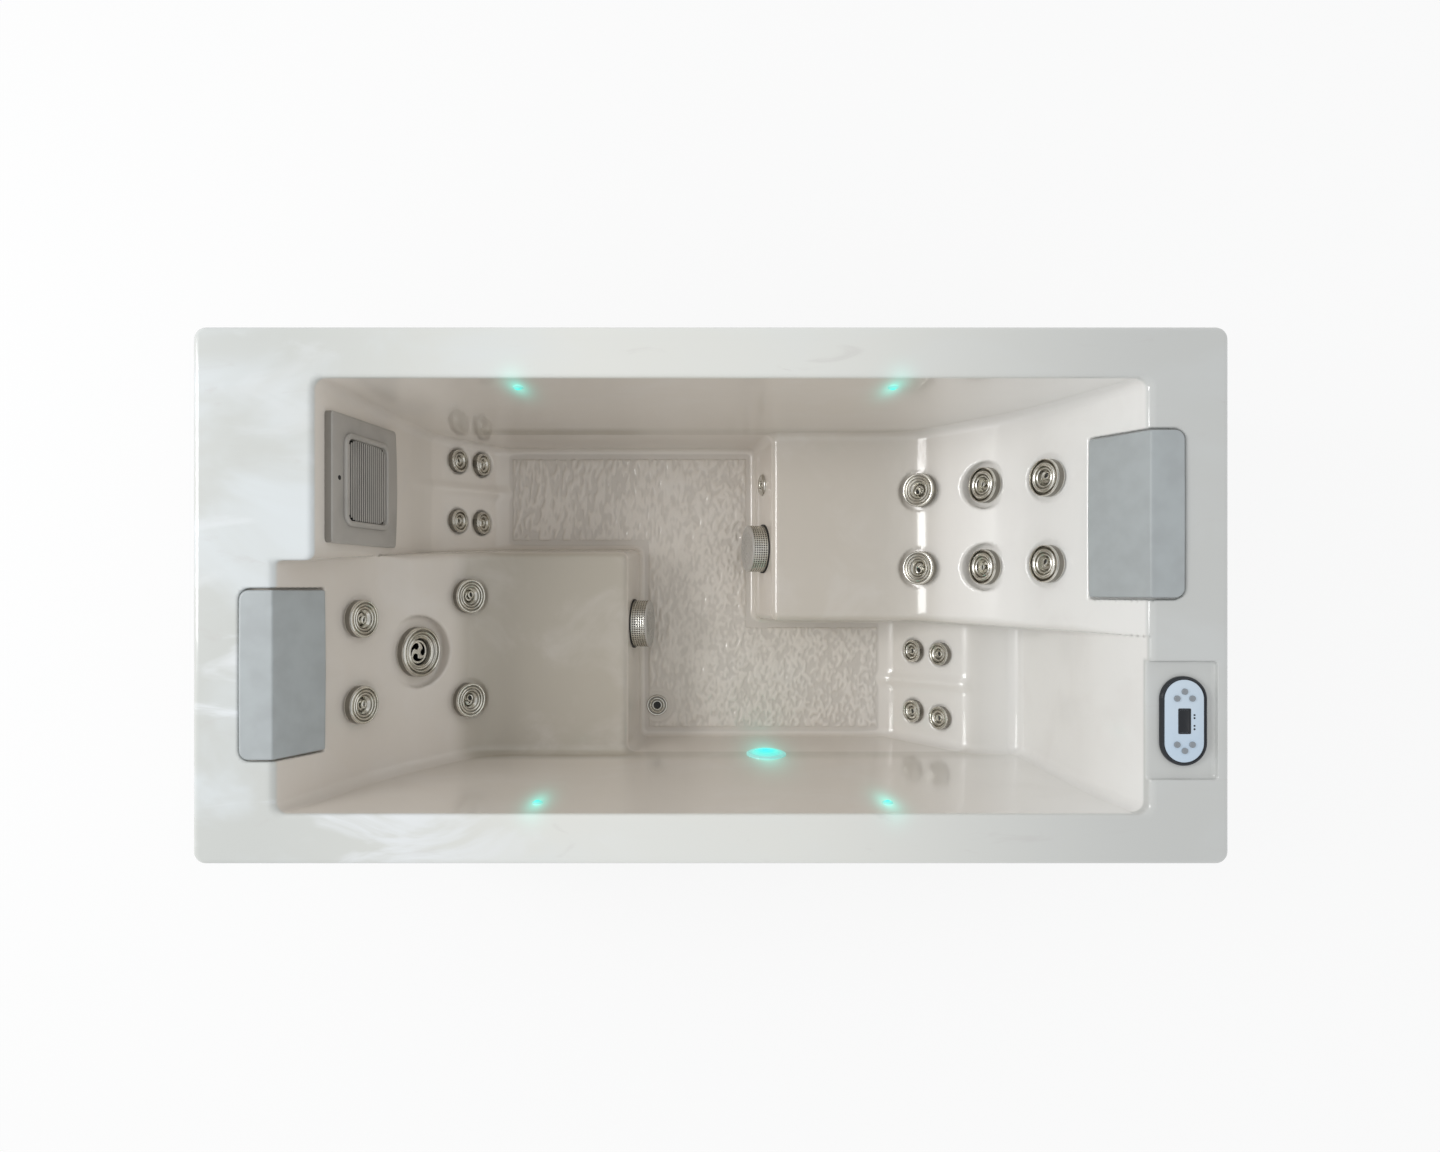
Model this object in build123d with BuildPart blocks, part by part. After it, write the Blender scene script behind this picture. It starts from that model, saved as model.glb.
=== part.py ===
"""Two-seat moulded hot tub: shell, fittings, cabinet and the plant under the seats.

The frame stands on the floor at Z = 0, with +X along the tub's length, +Y towards the
filter's side and the origin below the middle of the rim. Depths are measured down
from the rim. Sizes are in millimetres and angles in degrees.
"""

import os
from collections import namedtuple
from math import atan, cos, degrees, radians, sin, sqrt, tan

from build123d import *

os.makedirs("parts", exist_ok=True)

# Overall sizes
LENGTH = 2100
WIDTH = 1090
HEIGHT = 760
CORNER_R = 25
WALL = 6
SKIRT = 45
ABOVE = 20

# Depths below the rim
SEAT_D = 470
FLOOR_D = 650
BELOW_D = 680

# Long walls: place at the rim and inward lean for each unit of depth
NORTH_Y = 442
NORTH_LEAN = 0.0677
SOUTH_Y = -444
SOUTH_LEAN = 0.080

# Side of the left seat and its backrest, and of the right ones
LEFT_SIDE_Y = 70
LEFT_SIDE_LEAN = 0.085
RIGHT_SIDE_Y = -84
RIGHT_SIDE_LEAN = 0.033

# Lengthwise outlines, each a list of (x, depth)
LEFT_BACK = [(-888, 0), (-766, 250), (-568, SEAT_D)]
RIGHT_BACK = [(892, 0), (742, 260), (517, SEAT_D)]
FILTER_WALL = [(-807, 0), (-722, SEAT_D), (-561, FLOOR_D)]
SHELF_END = [(892, 0), (848, 120), (800, SEAT_D), (679, SEAT_D), (499, FLOOR_D)]
LEFT_RISER = [(-204, SEAT_D), (-178, FLOOR_D)]
RIGHT_RISER = [(171, SEAT_D), (135.5, FLOOR_D)]

# Pillows: (rim edge, outer end, low y, high y, foot depth)
LEFT_PILLOW = (-888, -953, -333, 11, 115)
RIGHT_PILLOW = (892, 957, -5, 335, 120)
PILLOW_SINK = 14
PILLOW_PROUD = 6
PILLOW_GAP = 0.5
PILLOW_EDGE = 4
PIN_R = 5
PIN_SPREAD = 220
PIN_LENGTH = 22
SOCKET_R = 9
SOCKET_DEPTH = 24

# Jets
JetSize = namedtuple("JetSize", "face height flange barrel tail dish")
SMALL = JetSize(face=30, height=20, flange=26, barrel=20, tail=70, dish=34)
MEDIUM = JetSize(face=42.5, height=23, flange=38, barrel=30, tail=110, dish=56)
LARGE = JetSize(face=60, height=25, flange=54, barrel=44, tail=120, dish=86)
DISH_SINK = 3
FLANGE_T = 3
BARREL_WALL = 5
NUT_T = 12
NUT_RIM = 8
JET_GAP = 0.4
BARB_R = 8
BARB_BORE = 5
BARB_OUT = 25
BARB_BACK = 22
HOSE_R = 11
HOSE_BORE = 8.4
HOSE_GRIP = 15

# Each jet: (wall, side the water is on, depth, y, tilt above level)
MEDIUM_JETS = [
    (LEFT_BACK, 1, 197, -54, 23),
    (LEFT_BACK, 1, 197, -247, 23),
    (LEFT_BACK, 1, 427, -5, 39),
    (LEFT_BACK, 1, 427, -265, 39),
    (RIGHT_BACK, -1, 206, 264, 23),
    (RIGHT_BACK, -1, 206, 70, 23),
    (RIGHT_BACK, -1, 326, 263, 26),
    (RIGHT_BACK, -1, 326, 66, 26),
    (RIGHT_BACK, -1, 442, 262, 45),
    (RIGHT_BACK, -1, 442, 66, 45),
]
LARGE_JET = (LEFT_BACK, 1, 326, -138, 28)
SMALL_JETS = [
    (FILTER_WALL, 1, 539, 352, 24),
    (FILTER_WALL, 1, 594, 350, 21),
    (FILTER_WALL, 1, 539, 193, 24),
    (FILTER_WALL, 1, 594, 192, 21),
    (SHELF_END, -1, 584, -154, 31),
    (SHELF_END, -1, 528, -158, 33),
    (SHELF_END, -1, 584, -316, 31),
    (SHELF_END, -1, 528, -326, 33),
]

# Filter, on the left end wall
FILTER_D = 180
FILTER_Y = 247
FACEPLATE = (275, 240, 16)
DOOR_RING = (200, 165)
DOOR_PLUG = (176, 141)
DOOR_SLATS = 13
MOUTH = (190, 150)

# Fittings in the footwell
SUCTION_D = 560
LEFT_SUCTION_Y = -79
RIGHT_SUCTION_Y = 120
SUCTION_R = 61
SUCTION_OUT = 45
RETURN_D = 565
RETURN_Y = 291
DRAIN_X = -133
DRAIN_Y = -309
DRAIN_R = 29

# Lamps: (x, depth) on the long walls
NORTH_LAMPS = [(-404, 70), (385, 70)]
SOUTH_LAMPS = [(-364, 75), (375, 75)]
MAIN_LAMP = (152, 455)
LAMP_R = 11
MAIN_LAMP_R = 50

# Control panel
PANEL_X = 960
PANEL_Y = -255
PANEL_SIZE = (94, 182)
PANEL_RECESS = (1026, -373, -134)
RECESS_D = 12
PANEL_T = 9
BUTTON_R = 6.3
BUTTON_PLACES = [(0, 60), (-15.5, 46), (15.5, 46), (-15.5, -47.5), (15.5, -47.5), (0, -60)]
BUTTON_TRAVEL = 1.5
SCREEN = (18.4, 44, 2)

# Cabinet
PAN_T = 12
BOARD_T = 12
BOARD_X = 1040
BOARD_Y = 535
BOARD_TOP = HEIGHT - 20
BOARD_ROUND = 11
TUBE = 40
POST_X = 1005
POST_Y = 500
MID_POST_X = 350
END_RAIL_Z = HEIGHT - 80
SUPPORTS = [((-460, 290), (-340, 380)), ((0, -100), (80, 0)), ((300, -350), (400, -200))]
VALVE_DOORWAY = (80, 132)
SCREW_R = 2.5
SCREW_HEAD = (5, 2)
SCREW_LENGTH = BOARD_T + 20

# Pump, pipes and the rest of the plant
PUMP_Y = -250
PUMP_Z = 96
SUCTION_Z = 79
SUCTION_X = -240
SUCTION_PIPE_R = 20
PORT_Z = 140
SPINE_Y = 45
SPINE_Z = 36
SPINE_R = 18
PIPE_WALL = 3
VALVE_Z = 45
VALVE_Y = -500
GLAND_Y = -300
GLAND_Z = 36
GLAND_BORE = 6
GLAND_R = 10
GLAND_LENGTH = 34
GLAND_NUT_R = 13
GLAND_NUT_T = 6


def save(builder, name):
    """Label a finished piece and write it to its file."""
    builder.part.label = name
    export_step(builder.part, f"parts/{name}.step")


def interpolate(outline, depth):
    """The x of a lengthwise outline at a depth, and how far it leans there."""
    for (x0, d0), (x1, d1) in zip(outline, outline[1:]):
        if d0 <= depth <= d1 and d1 > d0:
            lean = (x1 - x0) / (d1 - d0)
            return x0 + lean * (depth - d0), degrees(atan(abs(lean)))
    raise ValueError("depth is off this outline")


def grown(points, amount):
    """Corners of an anticlockwise outline whose sides all move outwards."""
    moved = []
    for i, here in enumerate(points):
        back = points[i - 1]
        ahead = points[(i + 1) % len(points)]
        arrive = Vector(here[0] - back[0], here[1] - back[1]).normalized()
        leave = Vector(ahead[0] - here[0], ahead[1] - here[1]).normalized()
        first = Vector(arrive.Y, -arrive.X)
        second = Vector(leave.Y, -leave.X)
        reach = amount / (1 + first.dot(second))
        moved.append((here[0] + reach * (first.X + second.X), here[1] + reach * (first.Y + second.Y)))
    return moved


def turns_left(points, i):
    """Whether an anticlockwise outline bulges at corner i."""
    back, here, ahead = points[i - 1], points[i], points[(i + 1) % len(points)]
    return (here[0] - back[0]) * (ahead[1] - here[1]) > (here[1] - back[1]) * (ahead[0] - here[0])


def outline_face(places, radii, amount):
    """Fill an outline of (place, depth) corners in the current sketch."""
    points = [(place, HEIGHT - depth) for place, depth in places]
    rounds = []
    for i, radius in enumerate(radii):
        change = amount if turns_left(points, i) else -amount
        rounds.append(max(radius + change, 0) if radius else 0)
    with BuildLine() as edge:
        FilletPolyline(*grown(points, amount), radius=rounds, close=True)
    make_face(edge.edges())


def hollow(long_places, radii, cross_places, amount):
    """One hollow of the tub: a lengthwise outline crossed with an endwise one."""
    with BuildPart() as block:
        with BuildSketch(Plane.XZ):
            outline_face(long_places, radii, amount)
        extrude(amount=WIDTH, both=True)
        with BuildSketch(Plane.YZ):
            outline_face(cross_places, [0] * len(cross_places), amount)
        extrude(amount=LENGTH, both=True, mode=Mode.INTERSECT)
    return block.part


def north(depth):
    return NORTH_Y - NORTH_LEAN * depth


def south(depth):
    return SOUTH_Y + SOUTH_LEAN * depth


def left_side(depth):
    return LEFT_SIDE_Y + LEFT_SIDE_LEAN * depth


def right_side(depth):
    return RIGHT_SIDE_Y + RIGHT_SIDE_LEAN * depth


def between(low, high):
    """Endwise outline between two leaning sides, from above the rim to below the floor."""
    return [(low(-ABOVE), -ABOVE), (low(BELOW_D), BELOW_D), (high(BELOW_D), BELOW_D), (high(-ABOVE), -ABOVE)]


def level_span(low, high):
    """Endwise outline between two upright sides."""
    return [(low, -2 * ABOVE), (low, BELOW_D), (high, BELOW_D), (high, -2 * ABOVE)]


def above_rim(outline):
    """A wall's first side carried straight on past the rim."""
    (x0, d0), (x1, d1) = outline[0], outline[1]
    return (x0 - (x1 - x0) / (d1 - d0) * ABOVE, -ABOVE)


def from_middle(outline):
    """A right-hand wall's corners from the middle of the tub outwards, without the rim's."""
    return outline[:0:-1]


def basin(amount):
    """The five hollows where water and bathers go."""
    shallow = [(0, -ABOVE), (0, SEAT_D)]
    deep = [(0, -ABOVE), (0, FLOOR_D)]
    left_seat = [above_rim(LEFT_BACK), *LEFT_BACK[1:], shallow[1], shallow[0]]
    left_foot = [above_rim(FILTER_WALL), *FILTER_WALL[1:], deep[1], deep[0]]
    right_seat = [*shallow, *from_middle(RIGHT_BACK), above_rim(RIGHT_BACK)]
    right_foot = [*deep, *from_middle(SHELF_END), above_rim(SHELF_END)]
    well = [(LEFT_RISER[0][0], -ABOVE), *LEFT_RISER, *RIGHT_RISER[::-1], (RIGHT_RISER[0][0], -ABOVE)]
    return [
        hollow(left_seat, [0, 150, 80, 0, 0], between(south, left_side), amount),
        hollow(left_foot, [0, 60, 40, 0, 0], between(left_side, north), amount),
        hollow(right_seat, [0, 0, 100, 150, 0], between(right_side, north), amount),
        hollow(right_foot, [0, 0, 40, 30, 40, 60, 0], between(south, right_side), amount),
        hollow(well, [0, 0, 15, 15, 0, 0], between(south, north), amount),
    ]


def back_line(pillow, wall, side, behind):
    """The x, at any depth, of a line a set distance behind a backrest's first side."""
    rim = pillow[0]
    lean = (wall[1][0] - rim) / wall[1][1]
    shift = side * behind * sqrt(1 + lean**2)
    return lambda depth: rim - shift + lean * depth


def pocket(pillow, wall, side, amount):
    """The moulded hollow that a pillow sits in."""
    rim, end, low, high, foot = pillow
    back = back_line(pillow, wall, side, PILLOW_SINK)
    outer = end - side * PILLOW_EDGE
    inner = rim + side * 180
    toe = foot + PILLOW_EDGE
    corners = [
        (outer, -2 * ABOVE),
        (outer, PILLOW_SINK),
        (back(PILLOW_SINK), PILLOW_SINK),
        (back(toe), toe),
        (inner, toe),
        (inner, -2 * ABOVE),
    ]
    span = level_span(low - PILLOW_EDGE, high + PILLOW_EDGE)
    return hollow(corners[::side], [0] * len(corners), span, amount)


def panel_recess(amount):
    """The shallow tray round the control panel, open towards the water."""
    end, low, high = PANEL_RECESS
    start = end - 170
    corners = [(start, -2 * ABOVE), (start, RECESS_D), (end, RECESS_D), (end, -2 * ABOVE)]
    return hollow(corners, [0] * len(corners), level_span(low, high), amount)


def hollows(amount):
    """Every hollow in the top of the shell, apart from the jets' dishes."""
    return [
        *basin(amount),
        pocket(LEFT_PILLOW, LEFT_BACK, 1, amount),
        pocket(RIGHT_PILLOW, RIGHT_BACK, -1, amount),
        panel_recess(amount),
    ]


def wall_plane(wall, side, depth, y, tilt=None, face_radius=0):
    """A plane on an end wall, facing the water, sunk so that a tilted disc is flush on top."""
    x, lean = interpolate(wall, depth)
    tilt = lean if tilt is None else tilt
    sink = DISH_SINK + face_radius * sin(radians(lean - tilt)) if face_radius else 0
    wall_normal = Vector(side * cos(radians(lean)), 0, sin(radians(lean)))
    normal = Vector(side * cos(radians(tilt)), 0, sin(radians(tilt)))
    origin = Vector(x, y, HEIGHT - depth) - wall_normal * sink
    return Plane(origin=origin, x_dir=(0, 1, 0), z_dir=normal)


def side_plane(side, x, depth):
    """A plane on a long wall, facing the water: side 1 is the north wall, -1 the south."""
    y = north(depth) if side > 0 else south(depth)
    lean = NORTH_LEAN if side > 0 else SOUTH_LEAN
    return Plane(origin=(x, y, HEIGHT - depth), x_dir=(1, 0, 0), z_dir=(0, -side, lean))


def jet_places():
    """Each jet's size and plane: the medium ones, then the large one, then the small ones."""
    rows = [(MEDIUM, jet) for jet in MEDIUM_JETS]
    rows.append((LARGE, LARGE_JET))
    rows.extend((SMALL, jet) for jet in SMALL_JETS)
    return [
        (size, wall_plane(wall, side, depth, y, tilt, size.face), tilt)
        for size, (wall, side, depth, y, tilt) in rows
    ]


def rod(plane, radius, low, high, mode=Mode.ADD):
    """A round bar along a plane's normal, between two heights."""
    with BuildSketch(plane.offset(low)) as section:
        Circle(radius)
    extrude(section.sketch, amount=high - low, mode=mode)


def tube(plane, radius, bore, low, high):
    """A pipe or ring along a plane's normal."""
    with BuildSketch(plane.offset(low)) as section:
        Circle(radius)
        Circle(bore, mode=Mode.SUBTRACT)
    extrude(section.sketch, amount=high - low)


def slab(plane, size, low, high, mode=Mode.ADD):
    """A rectangular plate centred on a plane, between two heights."""
    with BuildSketch(plane.offset(low)) as section:
        Rectangle(*size)
    extrude(section.sketch, amount=high - low, mode=mode)


def box(low, high, mode=Mode.ADD):
    """A box from its lowest to its highest corner."""
    middle = Plane(origin=((low[0] + high[0]) / 2, (low[1] + high[1]) / 2, low[2]))
    slab(middle, (high[0] - low[0], high[1] - low[1]), 0, high[2] - low[2], mode)


def turn(plane, profile, mode=Mode.ADD):
    """A solid turned about a plane's normal, from (radius, height) corners."""
    with BuildSketch(Plane(origin=plane.origin, x_dir=plane.x_dir, z_dir=-plane.y_dir)) as section:
        with BuildLine():
            Polyline(*profile, close=True)
        make_face()
    revolve(section.sketch, axis=Axis(plane.origin, plane.z_dir), mode=mode)


def upright(x, y, z=0):
    return Plane(origin=(x, y, z))


def downward(x, y, z):
    return Plane(origin=(x, y, z), x_dir=(1, 0, 0), z_dir=(0, 0, -1))


def pin_planes():
    """Where the pillows' pins pass through the pockets."""
    places = []
    for rim, end, low, high, foot in (LEFT_PILLOW, RIGHT_PILLOW):
        for shift in (-PIN_SPREAD / 2, PIN_SPREAD / 2):
            places.append(upright((rim + end) / 2, (low + high) / 2 + shift, HEIGHT - PILLOW_SINK))
    return places


JETS = jet_places()
FILTER_PLANE = wall_plane(FILTER_WALL, 1, FILTER_D, FILTER_Y)
LEFT_SUCTION = wall_plane(LEFT_RISER, 1, SUCTION_D, LEFT_SUCTION_Y)
RIGHT_SUCTION = wall_plane(RIGHT_RISER, -1, SUCTION_D, RIGHT_SUCTION_Y)
RETURN_PLANE = wall_plane(RIGHT_RISER, -1, RETURN_D, RETURN_Y)
DRAIN_PLANE = upright(DRAIN_X, DRAIN_Y, HEIGHT - FLOOR_D)
MAIN_LAMP_PLANE = side_plane(-1, *MAIN_LAMP)
SMALL_LAMP_PLANES = [side_plane(1, *place) for place in NORTH_LAMPS]
SMALL_LAMP_PLANES += [side_plane(-1, *place) for place in SOUTH_LAMPS]
PANEL_PLANE = upright(PANEL_X, PANEL_Y, HEIGHT - RECESS_D)

# Hole radii in the shell
HOLE_GAP = 0.3
SUCTION_BARREL = 40
RETURN_BARREL = 18
DRAIN_BARREL = 20
LAMP_BARREL = 8
MAIN_LAMP_BARREL = 40
PANEL_BODY = (70, 132)

# The moulded shell

with BuildPart() as water_space:
    add(hollows(0))

with BuildPart() as shell:
    add(hollows(WALL))
    slab(Plane.XY, (2 * LENGTH, 2 * WIDTH), HEIGHT, HEIGHT + 200, Mode.SUBTRACT)
    with BuildSketch(Plane.XY.offset(HEIGHT - WALL)):
        RectangleRounded(LENGTH, WIDTH, CORNER_R)
    extrude(amount=WALL)
    with BuildSketch(Plane.XY.offset(HEIGHT - SKIRT)):
        RectangleRounded(LENGTH, WIDTH, CORNER_R)
        RectangleRounded(LENGTH - 2 * WALL, WIDTH - 2 * WALL, CORNER_R - WALL, mode=Mode.SUBTRACT)
    extrude(amount=SKIRT)
    for size, plane, tilt in JETS:
        rod(plane, size.dish + WALL, -WALL, size.dish * 0.6)
    add(water_space.part, mode=Mode.SUBTRACT)
    for size, plane, tilt in JETS:
        rod(plane, size.dish, 0, size.dish, Mode.SUBTRACT)
        rod(plane, size.barrel + HOLE_GAP, -3 * WALL, WALL, Mode.SUBTRACT)
    slab(FILTER_PLANE, MOUTH, -3 * WALL, WALL, Mode.SUBTRACT)
    rod(LEFT_SUCTION, SUCTION_BARREL + HOLE_GAP, -3 * WALL, WALL, Mode.SUBTRACT)
    rod(RIGHT_SUCTION, SUCTION_BARREL + HOLE_GAP, -3 * WALL, WALL, Mode.SUBTRACT)
    rod(RETURN_PLANE, RETURN_BARREL + HOLE_GAP, -3 * WALL, WALL, Mode.SUBTRACT)
    rod(DRAIN_PLANE, DRAIN_BARREL + HOLE_GAP, -3 * WALL, WALL, Mode.SUBTRACT)
    rod(MAIN_LAMP_PLANE, MAIN_LAMP_BARREL + HOLE_GAP, -3 * WALL, WALL, Mode.SUBTRACT)
    for plane in SMALL_LAMP_PLANES:
        rod(plane, LAMP_BARREL + HOLE_GAP, -3 * WALL, WALL, Mode.SUBTRACT)
    for plane in pin_planes():
        rod(plane, PIN_R + PILLOW_GAP, -3 * WALL, WALL, Mode.SUBTRACT)
    slab(PANEL_PLANE, (PANEL_BODY[0] + 1, PANEL_BODY[1] + 1), -3 * WALL, WALL, Mode.SUBTRACT)
save(shell, "shell")

# The two pillows, each a firm slab bent over the rim's edge, on two push-in pins


def pillow_part(pillow, wall, side):
    rim, end, low, high, foot = pillow
    front = back_line(pillow, wall, side, -PILLOW_PROUD)
    back = back_line(pillow, wall, side, PILLOW_SINK - PILLOW_GAP)
    floor = PILLOW_SINK - PILLOW_GAP
    corners = [
        (end, -PILLOW_PROUD),
        (end, floor),
        (back(floor), floor),
        (back(foot), foot),
        (front(foot), foot),
        (front(-PILLOW_PROUD), -PILLOW_PROUD),
    ][::side]
    middle = (low + high) / 2
    with BuildPart() as piece:
        with BuildSketch(Plane.XZ.offset(-middle)):
            outline_face(corners, [0] * len(corners), 0)
        extrude(amount=(high - low) / 2, both=True)
        uprights = piece.edges().filter_by(Axis.Z).sort_by(Axis.X)
        fillet(uprights[:2] if side > 0 else uprights[-2:], 20)
        toe_edges = piece.edges().group_by(Axis.Z)[0].filter_by(Axis.X)
        fillet(toe_edges, 4)
        top = piece.faces().sort_by(Axis.Z)[-1]
        fillet(top.edges(), 3)
        for shift in (-PIN_SPREAD / 2, PIN_SPREAD / 2):
            pin = upright((rim + end) / 2, middle + shift, HEIGHT - floor)
            rod(pin, PIN_R, -PIN_LENGTH, 0.1)
    return piece


left_pillow = pillow_part(LEFT_PILLOW, LEFT_BACK, 1)
save(left_pillow, "left_pillow")
right_pillow = pillow_part(RIGHT_PILLOW, RIGHT_BACK, -1)
save(right_pillow, "right_pillow")

with BuildPart() as pillow_sockets:
    for plane in pin_planes():
        rod(plane, SOCKET_R, -WALL - SOCKET_DEPTH, -WALL)
        rod(plane, PIN_R + PILLOW_GAP, -WALL - SOCKET_DEPTH + 2, -WALL, Mode.SUBTRACT)
save(pillow_sockets, "pillow_sockets")

# Jets: bodies behind the wall, the nuts that clamp them, and the faces in the water


def barb_plane(size, plane):
    """Where a jet's hose barb leaves its body, pointing straight down."""
    centre = plane.offset(BARB_BACK - size.tail).origin
    return downward(centre.X, centre.Y, centre.Z)


def barb_length(size, tilt):
    return size.barrel / cos(radians(tilt)) + BARB_OUT


def jet_body(size, plane, tilt):
    barb = barb_plane(size, plane)
    with BuildPart() as body:
        rod(plane, size.flange, 0, FLANGE_T)
        rod(plane, size.barrel, -size.tail, 0)
        rod(barb, BARB_R, 0, barb_length(size, tilt))
        rod(plane, size.barrel - BARREL_WALL, BARREL_WALL - size.tail, FLANGE_T, Mode.SUBTRACT)
        rod(barb, BARB_BORE, 0, barb_length(size, tilt), Mode.SUBTRACT)
        if size is LARGE:
            rod(plane, 10, BARREL_WALL - size.tail, -20)
            rod(plane, ROTOR_PIN_R, -20, 14)
    return body.part


ROTOR_PIN_R = 4
ROTOR_R = 29
with BuildPart() as jet_bodies:
    add([jet_body(*jet) for jet in JETS])
save(jet_bodies, "jet_bodies")

with BuildPart() as jet_nuts:
    for size, plane, tilt in JETS:
        tube(plane, size.barrel + NUT_RIM, size.barrel + JET_GAP, -WALL - NUT_T, -WALL)
save(jet_nuts, "jet_nuts")


def jet_face(size, plane, bore, rings, stem):
    """A jet's face: a skirt over the flange, concentric rings and a bowl down to its bore."""
    inside = size.barrel - BARREL_WALL - JET_GAP
    skirt = size.flange + 2 * JET_GAP
    profile = [
        (bore, -stem),
        (inside, -stem),
        (inside, FLANGE_T + JET_GAP),
        (skirt, FLANGE_T + JET_GAP),
        (skirt, JET_GAP),
        (size.face, JET_GAP),
        (size.face, size.height - 3),
        (size.face - 2, size.height),
        (size.face - 4, size.height),
    ]
    pitch = 0.13 * size.face
    for ring in range(rings):
        radius = size.face - 4 - ring * pitch
        drop = size.height - 1.2 * ring
        profile.append((radius - 0.25 * pitch, drop - 3))
        profile.append((radius - 0.55 * pitch, drop - 3))
        profile.append((radius - 0.75 * pitch, drop - 1))
        profile.append((radius - pitch, drop - 1.2))
    lip = size.face - 4 - rings * pitch
    profile.append((lip - 0.4 * pitch, size.height - 8))
    profile.append((bore, size.height - 14))
    with BuildPart() as face:
        turn(plane, profile)
    return face


STEM = 30
for number, (size, plane, tilt) in enumerate(JETS[:10], start=1):
    medium_face = jet_face(size, plane, 7, 3, STEM)
    save(medium_face, f"jet_face_{number}")

large_size, large_plane = JETS[10][:2]
large_jet_face = jet_face(large_size, large_plane, ROTOR_R + 1, 2, STEM)
save(large_jet_face, "large_jet_face")

ROTOR_T = 6
ROTOR_LOW = 4
with BuildPart() as large_jet_spinner:
    tube(large_plane, ROTOR_R, ROTOR_PIN_R + JET_GAP, ROTOR_LOW, ROTOR_LOW + ROTOR_T)
    tube(large_plane, 9, ROTOR_PIN_R + JET_GAP, ROTOR_LOW, ROTOR_LOW + ROTOR_T + 2)
    with BuildSketch(large_plane.offset(ROTOR_LOW)) as lobes:
        with PolarLocations(17.5, 3):
            Circle(7.5)
    extrude(lobes.sketch, amount=ROTOR_T, mode=Mode.SUBTRACT)
save(large_jet_spinner, "large_jet_spinner")

with BuildPart() as small_jet_faces:
    add([jet_face(size, plane, 4, 2, STEM / 2).part for size, plane, tilt in JETS[11:]])
save(small_jet_faces, "small_jet_faces")

# Feed to the jets: one bar under each row, a spine across them, and a hose up to each body


def hose_places():
    """Each hose's x and y, and the height of its barb's tip."""
    places = []
    for size, plane, tilt in JETS:
        barb = barb_plane(size, plane)
        tip = barb.origin.Z - barb_length(size, tilt)
        places.append((barb.origin.X, barb.origin.Y, tip))
    return places


HOSES = hose_places()
STUB_TOP = SPINE_Z + SPINE_R + 20
MIXED = 2


def feed_rows():
    """Group the hoses by their x, and give each group's x and its span in y."""
    rows = {}
    for x, y, tip in HOSES:
        key = next((near for near in rows if abs(near - x) < MIXED), x)
        rows.setdefault(key, [SPINE_Y]).append(y)
    return [(x, min(ys), max(ys)) for x, ys in rows.items()]


def pipe(points, radii, radius, mode=Mode.ADD):
    """A round bar along straight runs joined by bends, in the current part."""
    with BuildLine() as route:
        FilletPolyline(*points, radius=radii)
    path = route.wires()[0]
    with BuildSketch(Plane(origin=path @ 0, z_dir=path % 0)) as section:
        Circle(radius)
    sweep(section.sketch, path=path, mode=mode)


HEATER = (-590, -390, -20, 225)
HEATER_R = 35
CAP_T = 8
RISER_X = -630
RISER_R = 14


def feed_network(inset):
    """The bars, the spine, the stubs and the riser from the heater, thinner by an inset."""
    radius = SPINE_R - inset
    rows = feed_rows()
    with BuildPart() as network:
        xs = [x for x, low, high in rows]
        along_x = Plane(origin=(min(xs), SPINE_Y, SPINE_Z), x_dir=(0, 1, 0), z_dir=(1, 0, 0))
        rod(along_x, radius, 0, max(xs) - min(xs))
        for x, low, high in rows:
            along_y = Plane(origin=(x, low - SPINE_R + inset, SPINE_Z), x_dir=(1, 0, 0), z_dir=(0, 1, 0))
            rod(along_y, radius, 0, high - low + 2 * radius)
        for x, y, tip in HOSES:
            rod(upright(x, y, SPINE_Z), BARB_R - inset, 0, STUB_TOP - SPINE_Z)
        start, end, y, z = HEATER
        riser = [(start, y, z), (RISER_X, y, z), (RISER_X, y, SPINE_Z), (xs[1], y, SPINE_Z)]
        pipe(riser, 18, RISER_R - inset)
    return network.part


with BuildPart() as pressure_manifold:
    add(feed_network(0))
    add(feed_network(PIPE_WALL), mode=Mode.SUBTRACT)
save(pressure_manifold, "pressure_manifold")

with BuildPart() as jet_hoses:
    for x, y, tip in HOSES:
        low = SPINE_Z + SPINE_R + 4
        tube(upright(x, y), HOSE_R, HOSE_BORE, low, tip + HOSE_GRIP)
save(jet_hoses, "jet_hoses")

# Filter: faceplate, snap-in door, weir flap, housing and cartridge

FACE_T = FACEPLATE[2]
with BuildPart() as filter_faceplate:
    slab(FILTER_PLANE, FACEPLATE[:2], 0, FACE_T)
    outwards = Axis(FILTER_PLANE.origin, FILTER_PLANE.z_dir)
    chamfer(filter_faceplate.faces().sort_by(outwards)[-1].edges(), 5)
    with BuildSketch(FILTER_PLANE):
        RectangleRounded(DOOR_PLUG[0] + 1, DOOR_PLUG[1] + 1, 16)
    extrude(amount=FACE_T, mode=Mode.SUBTRACT)
    with BuildSketch(FILTER_PLANE):
        with Locations((0, 95)):
            Circle(2.5)
    extrude(amount=FACE_T, mode=Mode.SUBTRACT)
save(filter_faceplate, "filter_faceplate")

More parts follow.
